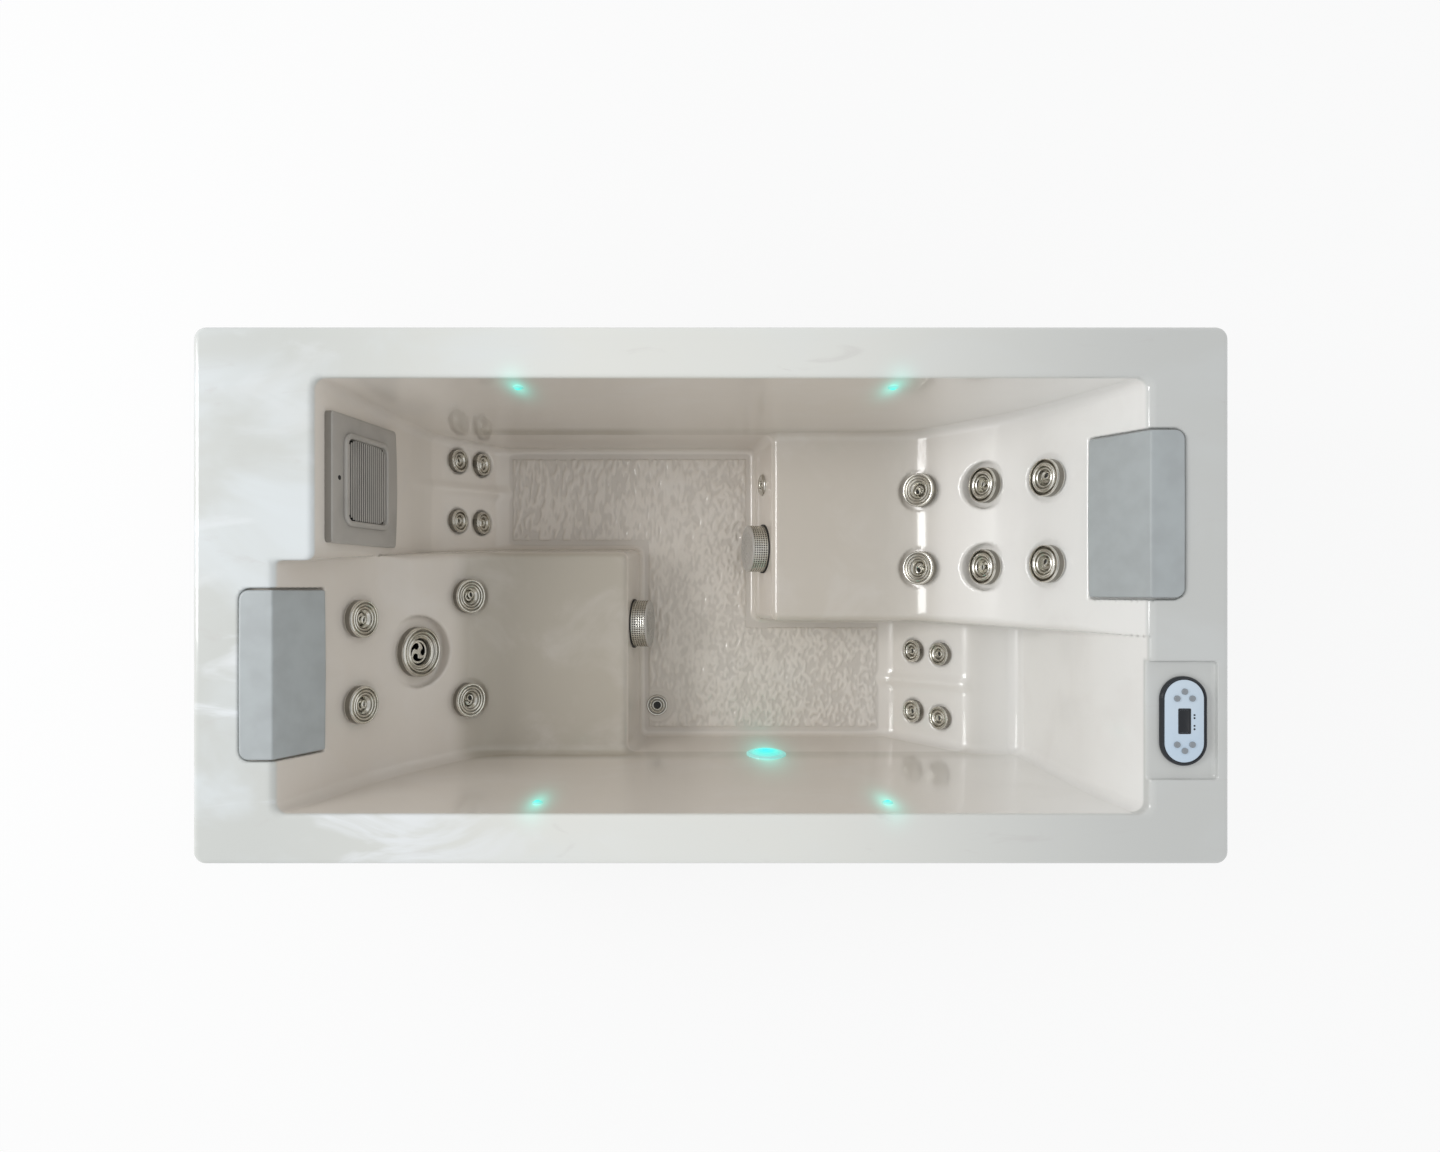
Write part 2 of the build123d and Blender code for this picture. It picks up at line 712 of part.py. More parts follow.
RING_T = 6
SLAT_PITCH = 9
SLAT_GAP = 4.5
with BuildPart() as filter_door:
    with BuildSketch(FILTER_PLANE.offset(2)):
        RectangleRounded(*DOOR_PLUG, 15.5)
    extrude(amount=FACE_T - 2)
    with BuildSketch(FILTER_PLANE.offset(FACE_T)):
        RectangleRounded(*DOOR_RING, 25)
    extrude(amount=RING_T)
    with BuildSketch(FILTER_PLANE.offset(FACE_T - 2)):
        RectangleRounded(DOOR_PLUG[0] - 20, DOOR_PLUG[1] - 18, 12)
    extrude(amount=RING_T + 2, mode=Mode.SUBTRACT)
    with BuildSketch(FILTER_PLANE):
        with GridLocations(1, SLAT_PITCH, 1, DOOR_SLATS):
            Rectangle(DOOR_PLUG[0] - 30, SLAT_GAP)
    extrude(amount=FACE_T + RING_T, mode=Mode.SUBTRACT)
save(filter_door, "filter_door")

FLAP = (150, 75, 4)
FLAP_PIN_R = 3
FLAP_FOOT = -58
FLAP_BACK = -18
FLAP_AXIS = Plane(
    origin=FILTER_PLANE.offset(FLAP_BACK).origin + FILTER_PLANE.y_dir * FLAP_FOOT,
    x_dir=FILTER_PLANE.y_dir,
    z_dir=(0, 1, 0),
)
MOUTH_T = 5
with BuildPart() as weir_flap:
    rod(FLAP_AXIS, FLAP_PIN_R, -MOUTH[0] / 2 - 1, MOUTH[0] / 2 + 1)
    with BuildSketch(FILTER_PLANE.offset(FLAP_BACK - FLAP[2] / 2)):
        with Locations((0, FLAP_FOOT + FLAP[1] / 2)):
            Rectangle(*FLAP[:2])
    extrude(amount=FLAP[2])
save(weir_flap, "weir_flap")

HOUSING = ((-975, 140, 340), (-850, 354, 700))
HOUSING_WALL = 4
THROAT = 90


def filter_space(inset):
    """The throat behind the wall and the upright box it opens into."""
    low, high = HOUSING
    with BuildPart() as space:
        box([place + inset for place in low], [place - inset for place in high])
        size = (MOUTH[0] + 2 * (MOUTH_T - inset), MOUTH[1] + 2 * (MOUTH_T - inset))
        slab(FILTER_PLANE, size, -THROAT, -WALL)
    return space.part


with BuildPart() as filter_canister:
    add(filter_space(0))
    slab(FILTER_PLANE, (MOUTH[0] + 50, MOUTH[1] + 50), -WALL - 5, -WALL)
    add(filter_space(HOUSING_WALL), mode=Mode.SUBTRACT)
    rod(FLAP_AXIS, FLAP_PIN_R + 0.3, -MOUTH[0] / 2 - 2, MOUTH[0] / 2 + 2, Mode.SUBTRACT)
    rod(upright(-912, FILTER_Y, 330), SUCTION_PIPE_R - PIPE_WALL, 0, 20, Mode.SUBTRACT)
save(filter_canister, "filter_canister")

CARTRIDGE_R = 52
with BuildPart() as filter_cartridge:
    core = upright(-912, FILTER_Y, 345)
    tube(core, CARTRIDGE_R, 20, 0, 12)
    tube(core, CARTRIDGE_R - 4, 24, 12, 288)
    tube(core, CARTRIDGE_R, 20, 288, 300)
save(filter_cartridge, "filter_cartridge")

# Suction covers, their bodies, the return fitting and the floor drain

SUCTIONS = [LEFT_SUCTION, RIGHT_SUCTION]
SUCTION_TAIL = 75
COVER_WALL = 3
COVER_LOW = 3
GASKET_R = 65
with BuildPart() as suction_covers:
    for plane in SUCTIONS:
        rod(plane, SUCTION_R, COVER_LOW, SUCTION_OUT)
        rod(plane, SUCTION_R - COVER_WALL, COVER_LOW, SUCTION_OUT - COVER_WALL, Mode.SUBTRACT)
        with BuildSketch(plane.offset(SUCTION_OUT - COVER_WALL)) as grate:
            for ring, count in ((15, 6), (28, 12), (41, 18)):
                with PolarLocations(ring, count):
                    Circle(4)
        extrude(grate.sketch, amount=COVER_WALL, mode=Mode.SUBTRACT)
save(suction_covers, "suction_covers")

with BuildPart() as suction_gaskets:
    for plane in SUCTIONS:
        tube(plane, GASKET_R, SUCTION_R - COVER_WALL, 0, COVER_LOW)
save(suction_gaskets, "suction_gaskets")

with BuildPart() as suction_bodies:
    for plane in SUCTIONS:
        port = plane.offset(-50).origin
        rod(plane, SUCTION_R - COVER_WALL, 0, 4)
        rod(plane, SUCTION_BARREL, -SUCTION_TAIL, 0)
        tube(plane, SUCTION_BARREL + 10, SUCTION_BARREL, -WALL - 10, -WALL)
        rod(downward(port.X, port.Y, port.Z), SUCTION_PIPE_R + 4, 0, port.Z - PORT_Z)
        rod(plane, SUCTION_BARREL - BARREL_WALL, BARREL_WALL - SUCTION_TAIL, 4, Mode.SUBTRACT)
        rod(downward(port.X, port.Y, port.Z), SUCTION_PIPE_R - 2, 0, port.Z - PORT_Z, Mode.SUBTRACT)
save(suction_bodies, "suction_bodies")

with BuildPart() as return_fitting:
    turn(RETURN_PLANE, [(12, -50), (18, -50), (18, 0), (29, 0), (29, 3), (22, 8), (15, 8), (12, 5)])
    tube(RETURN_PLANE, 26, 18, -WALL - 8, -WALL)
save(return_fitting, "return_fitting")

with BuildPart() as floor_drain:
    turn(DRAIN_PLANE, [(8, -34), (20, -34), (20, 0), (29, 0), (29, 4), (24, 7), (19, 7), (17, 4), (8, 4)])
    tube(DRAIN_PLANE, 30, 20, -WALL - 10, -WALL)
save(floor_drain, "floor_drain")

DRAIN_PIPE_R = 14
VALVE_R = 18
VALVE_NOSE = 44
VALVE_BORE = 9.5
STEM_R = 4
HANDLE_LIFT = 0.3
with BuildPart() as drain_valve:
    low = HEIGHT - FLOOR_D - 34
    run = [(DRAIN_X, DRAIN_Y, low), (DRAIN_X, DRAIN_Y, VALVE_Z), (DRAIN_X, VALVE_Y, VALVE_Z)]
    pipe(run, 22, DRAIN_PIPE_R)
    outward = Plane(origin=(DRAIN_X, VALVE_Y, VALVE_Z), x_dir=(1, 0, 0), z_dir=(0, -1, 0))
    rod(outward, VALVE_R, -20, 22)
    rod(outward, 13, 22, VALVE_NOSE)
    pipe(run, 22, 10, Mode.SUBTRACT)
    rod(outward, VALVE_BORE, -5, VALVE_NOSE, Mode.SUBTRACT)
    rod(upright(DRAIN_X, VALVE_Y, VALVE_Z), STEM_R + HANDLE_LIFT, 0, 20, Mode.SUBTRACT)
save(drain_valve, "drain_valve")

LEVER = 30
with BuildPart() as drain_handle:
    hub_low = VALVE_Z + VALVE_R + HANDLE_LIFT
    rod(upright(DRAIN_X, VALVE_Y, 0), STEM_R, VALVE_Z + VALVE_BORE + HANDLE_LIFT, hub_low)
    rod(upright(DRAIN_X, VALVE_Y, 0), 10, hub_low, hub_low + 12)
    box((DRAIN_X, VALVE_Y - 6, hub_low + 2), (DRAIN_X + LEVER, VALVE_Y + 6, hub_low + 8))
    rod(upright(DRAIN_X + LEVER, VALVE_Y), 6, hub_low + 2, hub_low + 8)
save(drain_handle, "drain_handle")

# Suction pipes, from the two covers and the filter to the pump

INLET_X = -290
MERGE_Y = -130
BRANCH_STEP = 3


def suction_network(radius):
    left_port = LEFT_SUCTION.offset(-50).origin
    right_port = RIGHT_SUCTION.offset(-50).origin
    with BuildPart() as network:
        pipe(
            [
                (-912, FILTER_Y, HOUSING[0][2]),
                (-912, FILTER_Y, SUCTION_Z),
                (SUCTION_X, FILTER_Y, SUCTION_Z),
                (SUCTION_X, MERGE_Y, SUCTION_Z),
                (SUCTION_X, PUMP_Y, PUMP_Z),
                (INLET_X, PUMP_Y, PUMP_Z),
            ],
            [60, 60, 100, 24],
            radius,
        )
        pipe(
            [
                (right_port.X, RIGHT_SUCTION_Y, PORT_Z),
                (right_port.X, RIGHT_SUCTION_Y, SUCTION_Z),
                (SUCTION_X, RIGHT_SUCTION_Y, SUCTION_Z),
            ],
            40,
            radius - BRANCH_STEP,
        )
        rod(upright(left_port.X, LEFT_SUCTION_Y), radius - BRANCH_STEP, SUCTION_Z, PORT_Z)
    return network.part


with BuildPart() as suction_pipe:
    add(suction_network(SUCTION_PIPE_R))
    add(suction_network(SUCTION_PIPE_R - PIPE_WALL), mode=Mode.SUBTRACT)
save(suction_pipe, "suction_pipe")

# Pump

PUMP_AXIS = Plane(origin=(0, PUMP_Y, PUMP_Z), x_dir=(0, 1, 0), z_dir=(1, 0, 0))
MOTOR_X = (-615, -385)
MOTOR_R = 70
VOLUTE_X = (-385, -315)
VOLUTE_R = 80
VOLUTE_WALL = 10
CAVITY_R = 62
SHAFT_R = 8
SHAFT_HOLE = SHAFT_R + 0.4
SHAFT_DEPTH = 30
OUTLET_X = -350
OUTLET_R = 20
OUTLET_BORE = 12
OUTLET_TOP = PUMP_Z + VOLUTE_R + 14
IMPELLER_R = 56
VANES = 6
COOLING_FINS = 24
with BuildPart() as pump_motor:
    rod(PUMP_AXIS, MOTOR_R, MOTOR_X[0] + 30, MOTOR_X[1])
    rod(PUMP_AXIS, MOTOR_R - 6, MOTOR_X[0], MOTOR_X[0] + 30)
    with BuildSketch(PUMP_AXIS.offset(MOTOR_X[0] + 60)) as fins:
        with PolarLocations(MOTOR_R, COOLING_FINS):
            Rectangle(8, 3)
    extrude(fins.sketch, amount=120)
    box((-540, PUMP_Y - 30, PUMP_Z + MOTOR_R - 5), (-460, PUMP_Y + 30, PUMP_Z + MOTOR_R + 30))
    box((-560, PUMP_Y - 60, PAN_T), (-440, PUMP_Y + 60, PUMP_Z - 40))
    rod(PUMP_AXIS, SHAFT_HOLE, MOTOR_X[1] - SHAFT_DEPTH, MOTOR_X[1], Mode.SUBTRACT)
save(pump_motor, "pump_motor")

with BuildPart() as pump_volute:
    rod(PUMP_AXIS, VOLUTE_R, *VOLUTE_X)
    rod(PUMP_AXIS, SUCTION_PIPE_R + 6, VOLUTE_X[1], INLET_X)
    rod(upright(OUTLET_X, PUMP_Y), OUTLET_R, PUMP_Z, OUTLET_TOP)
    low, high = VOLUTE_X[0] + VOLUTE_WALL, VOLUTE_X[1] - VOLUTE_WALL
    rod(PUMP_AXIS, CAVITY_R, low, high, Mode.SUBTRACT)
    rod(PUMP_AXIS, SUCTION_PIPE_R - PIPE_WALL, high, INLET_X, Mode.SUBTRACT)
    rod(PUMP_AXIS, SHAFT_HOLE, VOLUTE_X[0], low, Mode.SUBTRACT)
    rod(upright(OUTLET_X, PUMP_Y), OUTLET_BORE, PUMP_Z + CAVITY_R / 2, OUTLET_TOP, Mode.SUBTRACT)
save(pump_volute, "pump_volute")

with BuildPart() as pump_impeller:
    disc = VOLUTE_X[0] + VOLUTE_WALL + 4
    rod(PUMP_AXIS, SHAFT_R, MOTOR_X[1] - SHAFT_DEPTH + 2, disc + 6)
    rod(PUMP_AXIS, IMPELLER_R, disc, disc + 6)
    with BuildSketch(PUMP_AXIS.offset(disc + 6)) as vanes:
        with PolarLocations(0.6 * IMPELLER_R, VANES):
            Rectangle(0.6 * IMPELLER_R, 4, rotation=35)
    extrude(vanes.sketch, amount=16)
save(pump_impeller, "pump_impeller")

# Heater, with the pipe from the pump

with BuildPart() as heater:
    start, end, y, z = HEATER
    along = Plane(origin=(0, y, z), x_dir=(0, 1, 0), z_dir=(1, 0, 0))
    rod(along, HEATER_R, start, end)
    run = [(OUTLET_X, PUMP_Y, OUTLET_TOP), (OUTLET_X, PUMP_Y, z), (OUTLET_X, y, z), (end, y, z)]
    pipe(run, [28, 28], OUTLET_BORE + 4)
    rod(along, HEATER_R - PIPE_WALL, start + CAP_T, end - CAP_T, Mode.SUBTRACT)
    pipe(run, [28, 28], OUTLET_BORE, Mode.SUBTRACT)
    rod(along, OUTLET_BORE, end - CAP_T, end, Mode.SUBTRACT)
    rod(along, RISER_R - PIPE_WALL, start, start + CAP_T, Mode.SUBTRACT)
save(heater, "heater")

# Control box, against the right board

with BuildPart() as control_box:
    box((880, -420, 60), (1028, -140, 300))
    fillet(control_box.edges().filter_by(Axis.X), 12)
    box((872, -400, 80), (880, -160, 280))
save(control_box, "control_box")

# Lamps: lenses in the water and their cups behind the wall

with BuildPart() as main_light_lens:
    turn(MAIN_LAMP_PLANE, [(0, 0), (50, 0), (50, 2.5), (44, 5), (38, 5), (30, 8.5), (16, 11), (0, 12)])
save(main_light_lens, "main_light_lens")

with BuildPart() as small_light_lenses:
    for plane in SMALL_LAMP_PLANES:
        turn(plane, [(0, 0), (LAMP_R, 0), (LAMP_R, 1.5), (8, 3), (5, 5), (0, 6)])
save(small_light_lenses, "small_light_lenses")

with BuildPart() as light_bodies:
    rod(MAIN_LAMP_PLANE, MAIN_LAMP_BARREL, -42, 0)
    tube(MAIN_LAMP_PLANE, MAIN_LAMP_BARREL + 10, MAIN_LAMP_BARREL, -WALL - 10, -WALL)
    rod(MAIN_LAMP_PLANE, MAIN_LAMP_BARREL - 4, -36, 0, Mode.SUBTRACT)
    for plane in SMALL_LAMP_PLANES:
        rod(plane, LAMP_BARREL, -28, 0)
        tube(plane, LAMP_BARREL + 5, LAMP_BARREL, -WALL - 8, -WALL)
        rod(plane, LAMP_BARREL - 2, -24, 0, Mode.SUBTRACT)
save(light_bodies, "light_bodies")

# Control panel, its display and its six buttons

POCKET_DEPTH = 7
BUTTON_LIFT = 1.2
with BuildPart() as topside_housing:
    with BuildSketch(PANEL_PLANE) as oval:
        SlotOverall(PANEL_SIZE[1], PANEL_SIZE[0], rotation=90)
    extrude(oval.sketch, amount=PANEL_T)
    rim_edges = topside_housing.faces().sort_by(Axis.Z)[-1].edges()
    fillet(rim_edges, 3)
    slab(PANEL_PLANE, PANEL_BODY, -34, 0)
    for x, y in BUTTON_PLACES:
        button_hole = upright(PANEL_X + x, PANEL_Y + y, HEIGHT - RECESS_D)
        rod(button_hole, BUTTON_R + 0.3, PANEL_T - POCKET_DEPTH, PANEL_T, Mode.SUBTRACT)
    slab(PANEL_PLANE, (SCREEN[0] + 0.2, SCREEN[1] + 0.2), PANEL_T - SCREEN[2], PANEL_T, Mode.SUBTRACT)
save(topside_housing, "topside_housing")

with BuildPart() as topside_screen:
    slab(PANEL_PLANE, SCREEN[:2], PANEL_T - SCREEN[2], PANEL_T - 0.2)
save(topside_screen, "topside_screen")

for number, (x, y) in enumerate(BUTTON_PLACES, start=1):
    with BuildPart() as button:
        place = upright(PANEL_X + x, PANEL_Y + y, HEIGHT - RECESS_D)
        low = PANEL_T - POCKET_DEPTH + BUTTON_TRAVEL + 0.3
        rod(place, BUTTON_R, low, PANEL_T + BUTTON_LIFT)
        fillet(button.faces().sort_by(Axis.Z)[-1].edges(), 1)
    save(button, f"button_{number}")

# Cabinet: base pan, the blocks under the footwell, frame, boards, screws and cable gland

with BuildPart() as base_pan:
    box((2 - BOARD_X, 2 - BOARD_Y, 0), (BOARD_X - 2, BOARD_Y - 2, PAN_T))
save(base_pan, "base_pan")

with BuildPart() as floor_supports:
    for low, high in SUPPORTS:
        box((*low, PAN_T), (*high, HEIGHT - FLOOR_D - WALL))
save(floor_supports, "floor_supports")

HALF = TUBE / 2
POST_XS = [-POST_X, -MID_POST_X, MID_POST_X, POST_X]
FRAME_TOP = HEIGHT - WALL
VALVE_GAP = DRAIN_X - 90, DRAIN_X + 90


def screw_planes():
    """Where the screws enter the boards: eight on each long board and four on each end."""
    planes = []
    for side in (-1, 1):
        for x in POST_XS:
            for z in (150, 600):
                planes.append(Plane(origin=(x, side * BOARD_Y, z), x_dir=(1, 0, 0), z_dir=(0, side, 0)))
        for y in (-POST_Y, POST_Y):
            for z in (250, 500):
                planes.append(Plane(origin=(side * BOARD_X, y, z), x_dir=(0, 1, 0), z_dir=(side, 0, 0)))
    return planes


SCREWS = screw_planes()


def screw_holes():
    for plane in SCREWS:
        rod(plane, SCREW_R + 0.2, -SCREW_LENGTH - 1, 1, Mode.SUBTRACT)


def rail_bays():
    """The clear spans between neighbouring posts along a long side."""
    return [(low + HALF, high - HALF) for low, high in zip(POST_XS, POST_XS[1:])]


with BuildPart() as frame_posts:
    for x in POST_XS:
        for y in (-POST_Y, POST_Y):
            box((x - HALF, y - HALF, PAN_T), (x + HALF, y + HALF, FRAME_TOP))
    screw_holes()
save(frame_posts, "frame_posts")

with BuildPart() as frame_rails:
    for y in (-POST_Y, POST_Y):
        for low, high in rail_bays():
            box((low, y - HALF, FRAME_TOP - TUBE), (high, y + HALF, FRAME_TOP))
            box((low, y - HALF, PAN_T), (high, y + HALF, PAN_T + TUBE))
    for x in (-POST_X, POST_X):
        reach = POST_Y - HALF
        box((x - HALF, -reach, END_RAIL_Z - TUBE), (x + HALF, reach, END_RAIL_Z))
    gap_low, gap_high = VALVE_GAP
    box((gap_low, -WIDTH, 0), (gap_high, 0, PAN_T + TUBE + 1), Mode.SUBTRACT)
save(frame_rails, "frame_rails")


def long_board(side):
    """The front board (side -1) or the back board (side 1)."""
    outer = side * BOARD_Y
    inner = side * (BOARD_Y - BOARD_T)
    box((-BOARD_X, min(outer, inner), PAN_T), (BOARD_X, max(outer, inner), BOARD_TOP))


def end_board(side):
    outer = side * BOARD_X
    inner = side * (BOARD_X - BOARD_T)
    reach = BOARD_Y - BOARD_T
    box((min(outer, inner), -reach, PAN_T), (max(outer, inner), reach, BOARD_TOP))


with BuildPart() as front_panel:
    long_board(-1)
    fillet(front_panel.edges().filter_by(Axis.Z).group_by(Axis.Y)[0], BOARD_ROUND)
    half, top = VALVE_DOORWAY
    box((DRAIN_X - half, -WIDTH, 0), (DRAIN_X + half, -POST_Y, top), Mode.SUBTRACT)
    screw_holes()
save(front_panel, "front_panel")

with BuildPart() as back_panel:
    long_board(1)
    fillet(back_panel.edges().filter_by(Axis.Z).group_by(Axis.Y)[-1], BOARD_ROUND)
    screw_holes()
save(back_panel, "back_panel")

with BuildPart() as left_panel:
    end_board(-1)
    screw_holes()
save(left_panel, "left_panel")

GLAND_PLANE = Plane(origin=(BOARD_X, GLAND_Y, GLAND_Z), x_dir=(0, 1, 0), z_dir=(1, 0, 0))
with BuildPart() as right_panel:
    end_board(1)
    screw_holes()
    rod(GLAND_PLANE, GLAND_R + HOLE_GAP, -BOARD_T - 1, 1, Mode.SUBTRACT)
save(right_panel, "right_panel")

with BuildPart() as panel_screws:
    for plane in SCREWS:
        rod(plane, SCREW_R, -SCREW_LENGTH, 0)
        rod(plane, SCREW_HEAD[0], 0, SCREW_HEAD[1])
save(panel_screws, "panel_screws")

with BuildPart() as cable_gland:
    rod(GLAND_PLANE, GLAND_R, -GLAND_LENGTH, 0)
    with BuildSketch(GLAND_PLANE) as nut:
        RegularPolygon(GLAND_NUT_R, 6)
    extrude(nut.sketch, amount=GLAND_NUT_T)
    tube(GLAND_PLANE, GLAND_NUT_R, GLAND_R, -BOARD_T - GLAND_NUT_T, -BOARD_T)
    rod(GLAND_PLANE, GLAND_BORE, -GLAND_LENGTH, GLAND_NUT_T, Mode.SUBTRACT)
save(cable_gland, "cable_gland")
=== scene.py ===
"""Looks of the two-seat hot tub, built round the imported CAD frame.

The frame has +X along the tub, +Y towards the filter's side and Z = 0 on the floor.
Shapes are worked out in millimetres, depths are measured down from the rim, and every
mesh is written in metres.
"""

from collections import namedtuple
from math import atan, cos, degrees, pi, radians, sin

import bpy
import numpy as np
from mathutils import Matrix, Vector


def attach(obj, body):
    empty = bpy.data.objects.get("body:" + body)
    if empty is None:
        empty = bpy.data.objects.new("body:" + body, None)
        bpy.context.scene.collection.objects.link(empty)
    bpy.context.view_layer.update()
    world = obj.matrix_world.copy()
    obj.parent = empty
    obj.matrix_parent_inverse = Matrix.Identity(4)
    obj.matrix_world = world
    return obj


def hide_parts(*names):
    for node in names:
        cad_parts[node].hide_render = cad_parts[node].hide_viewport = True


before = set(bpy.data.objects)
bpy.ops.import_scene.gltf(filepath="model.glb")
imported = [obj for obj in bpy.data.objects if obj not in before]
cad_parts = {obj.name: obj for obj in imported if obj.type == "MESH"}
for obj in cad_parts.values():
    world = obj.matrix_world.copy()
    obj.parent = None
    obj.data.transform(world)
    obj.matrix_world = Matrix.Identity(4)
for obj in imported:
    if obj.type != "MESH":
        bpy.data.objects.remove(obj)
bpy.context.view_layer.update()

MM = 0.001
HEIGHT = 760.0
HALF_LENGTH = 1050.0
HALF_WIDTH = 545.0
CORNER_R = 25.0
WALL = 6.0
SEAT_D = 470.0
FLOOR_D = 650.0
SKIRT_Z = 715.0

# Lengthwise outlines, each a list of (x, depth)
LEFT_BACK = [(-888, 0), (-766, 250), (-568, 470)]
RIGHT_BACK = [(892, 0), (742, 260), (517, 470)]
FILTER_WALL = [(-807, 0), (-722, 470), (-561, 650)]
SHELF_END = [(892, 0), (848, 120), (800, 470), (679, 470), (499, 650)]
LEFT_RISER = [(-204, 470), (-178, 650)]
RIGHT_RISER = [(171, 470), (135.5, 650)]

# The long walls: y at the rim, and how much they lean in for each unit of depth
NORTH_Y = 442
NORTH_LEAN = 0.0677
SOUTH_Y = -444
SOUTH_LEAN = 0.08

# The seams between each seat and the foot end beside it
LEFT_SEAM_Y = 70
LEFT_SEAM_LEAN = 0.08
RIGHT_SEAM_Y = -84
RIGHT_SEAM_SHIFT = 15.5

# Sweeps of the wide bends and radii of the tight ones
BACK_SWEEP = 24
SEAT_SWEEP = 42
FILTER_SWEEP = 34
SHELF_SWEEP = 16
STEP_SWEEP = 20
SHELF_R = 30
SEAT_EDGE_R = 18
SIDE_R = 22
FLOOR_R = 16
FOOT_R = 22
RIM_R = 9
OUTER_R = 11

# Ribs across the foot slopes
RIB_HEIGHT = 7
RIB_WIDTH = 15
FILTER_RIB_Y = 277
SHELF_RIB_Y = -235

Pillow = namedtuple("Pillow", "wall side end low high foot")
LEFT_PILLOW = Pillow(LEFT_BACK, 1, -953, -333, 11, 115)
RIGHT_PILLOW = Pillow(RIGHT_BACK, -1, 957, -5, 335, 120)
PILLOW_SINK = 14.0
PILLOW_PROUD = 6.0
PILLOW_CROWN = 1.5
PILLOW_BACK = 13.5
POCKET_GAP = 4.0

# The tray round the control panel
TRAY_SINK = 12.0
TRAY_START = 856.0
TRAY_END = 1026.0
TRAY_Y = -253.5
TRAY_HALF = 119.5

JetSize = namedtuple("JetSize", "face height dish barrel")
SMALL = JetSize(30.0, 20.0, 34.0, 20.0)
MEDIUM = JetSize(42.5, 23.0, 56.0, 30.0)
LARGE = JetSize(60.0, 25.0, 86.0, 44.0)

# Each jet: (wall, side the water is on, depth, y, tilt above level)
MEDIUM_JETS = [
    (LEFT_BACK, 1, 197, -54, 23),
    (LEFT_BACK, 1, 197, -247, 23),
    (LEFT_BACK, 1, 427, -5, 39),
    (LEFT_BACK, 1, 427, -265, 39),
    (RIGHT_BACK, -1, 206, 264, 23),
    (RIGHT_BACK, -1, 206, 70, 23),
    (RIGHT_BACK, -1, 326, 263, 26),
    (RIGHT_BACK, -1, 326, 66, 26),
    (RIGHT_BACK, -1, 442, 262, 45),
    (RIGHT_BACK, -1, 442, 66, 45),
]
LARGE_JET = (LEFT_BACK, 1, 326, -138, 28)
SMALL_JETS = [
    (FILTER_WALL, 1, 539, 352, 24),
    (FILTER_WALL, 1, 594, 350, 21),
    (FILTER_WALL, 1, 539, 193, 24),
    (FILTER_WALL, 1, 594, 192, 21),
    (SHELF_END, -1, 584, -154, 31),
    (SHELF_END, -1, 528, -158, 33),
    (SHELF_END, -1, 584, -316, 31),
    (SHELF_END, -1, 528, -326, 33),
]
DISH_SINK = 3.0
JET_RISE = 8.0
SMALL_JET_RISE = 4.8

# The lamps as (x, depth), with the side first for the small ones
MAIN_LAMP = (152, 455)
SMALL_LAMPS = [(1, -404, 70), (1, 385, 70), (-1, -364, 75), (-1, 375, 75)]
LAMP_POWER = 0.9
LAMP_STRETCH = np.array([1.0, 1.0, 0.35])

# Places on the walls

Place = namedtuple("Place", "origin across up out")


def unit(vector):
    vector = np.asarray(vector, float)
    return vector / np.linalg.norm(vector)


def place(origin, out, across=(0, 1, 0)):
    """A spot on a surface, with directions across, up and out of it."""
    out = unit(out)
    across = unit(across)
    return Place(np.asarray(origin, float), across, np.cross(out, across), out)


def wall_place(wall, side, depth, y, tilt=None, radius=0.0):
    """A place on an end wall, sunk so that a tilted disc is flush at its top."""
    for (x0, d0), (x1, d1) in zip(wall, wall[1:]):
        if d0 <= depth <= d1 and d1 > d0:
            slope = (x1 - x0) / (d1 - d0)
            x = x0 + slope * (depth - d0)
            lean = degrees(atan(abs(slope)))
    tilt = lean if tilt is None else tilt
    sink = DISH_SINK + radius * sin(radians(lean - tilt)) if radius else 0.0
    steep, turned = radians(lean), radians(tilt)
    face = np.array([side * cos(steep), 0.0, sin(steep)])
    origin = np.array([x, y, HEIGHT - depth]) - sink * face
    return place(origin, (side * cos(turned), 0, sin(turned)))


def north_y(depth):
    return NORTH_Y - NORTH_LEAN * depth


def south_y(depth):
    return SOUTH_Y + SOUTH_LEAN * depth


def side_place(side, x, depth):
    """A place on a long wall: side 1 is the filter's wall, -1 the other."""
    y, lean = (north_y(depth), NORTH_LEAN) if side > 0 else (south_y(depth), SOUTH_LEAN)
    return place((x, y, HEIGHT - depth), (0, -side, lean), (1, 0, 0))


def raised(spot, height):
    return spot._replace(origin=spot.origin + height * spot.out)


medium_places = [raised(wall_place(*jet, MEDIUM.face), JET_RISE) for jet in MEDIUM_JETS]
large_place = raised(wall_place(*LARGE_JET, LARGE.face), JET_RISE)
small_places = [raised(wall_place(*jet, SMALL.face), SMALL_JET_RISE) for jet in SMALL_JETS]
filter_place = wall_place(FILTER_WALL, 1, 180, 247)
suction_places = [wall_place(LEFT_RISER, 1, 560, -79), wall_place(RIGHT_RISER, -1, 560, 120)]
return_place = wall_place(RIGHT_RISER, -1, 565, 291)
drain_place = place((-133, -309, HEIGHT - FLOOR_D), (0, 0, 1), (1, 0, 0))
main_lamp_place = side_place(-1, *MAIN_LAMP)
small_lamp_places = [side_place(*lamp) for lamp in SMALL_LAMPS]
panel_place = place((960, -255, HEIGHT - TRAY_SINK), (0, 0, 1), (1, 0, 0))

jets = [(MEDIUM, spot) for spot in medium_places]
jets += [(LARGE, large_place)]
jets += [(SMALL, spot) for spot in small_places]

# Solids as fields: below zero in air or water, above zero in the material


def meet(a, b, r):
    """Where two hollows overlap, with a fillet in the corner between their walls."""
    corner = np.hypot(np.maximum(a + r, 0), np.maximum(b + r, 0))
    return np.minimum(-r, np.maximum(a, b)) + corner


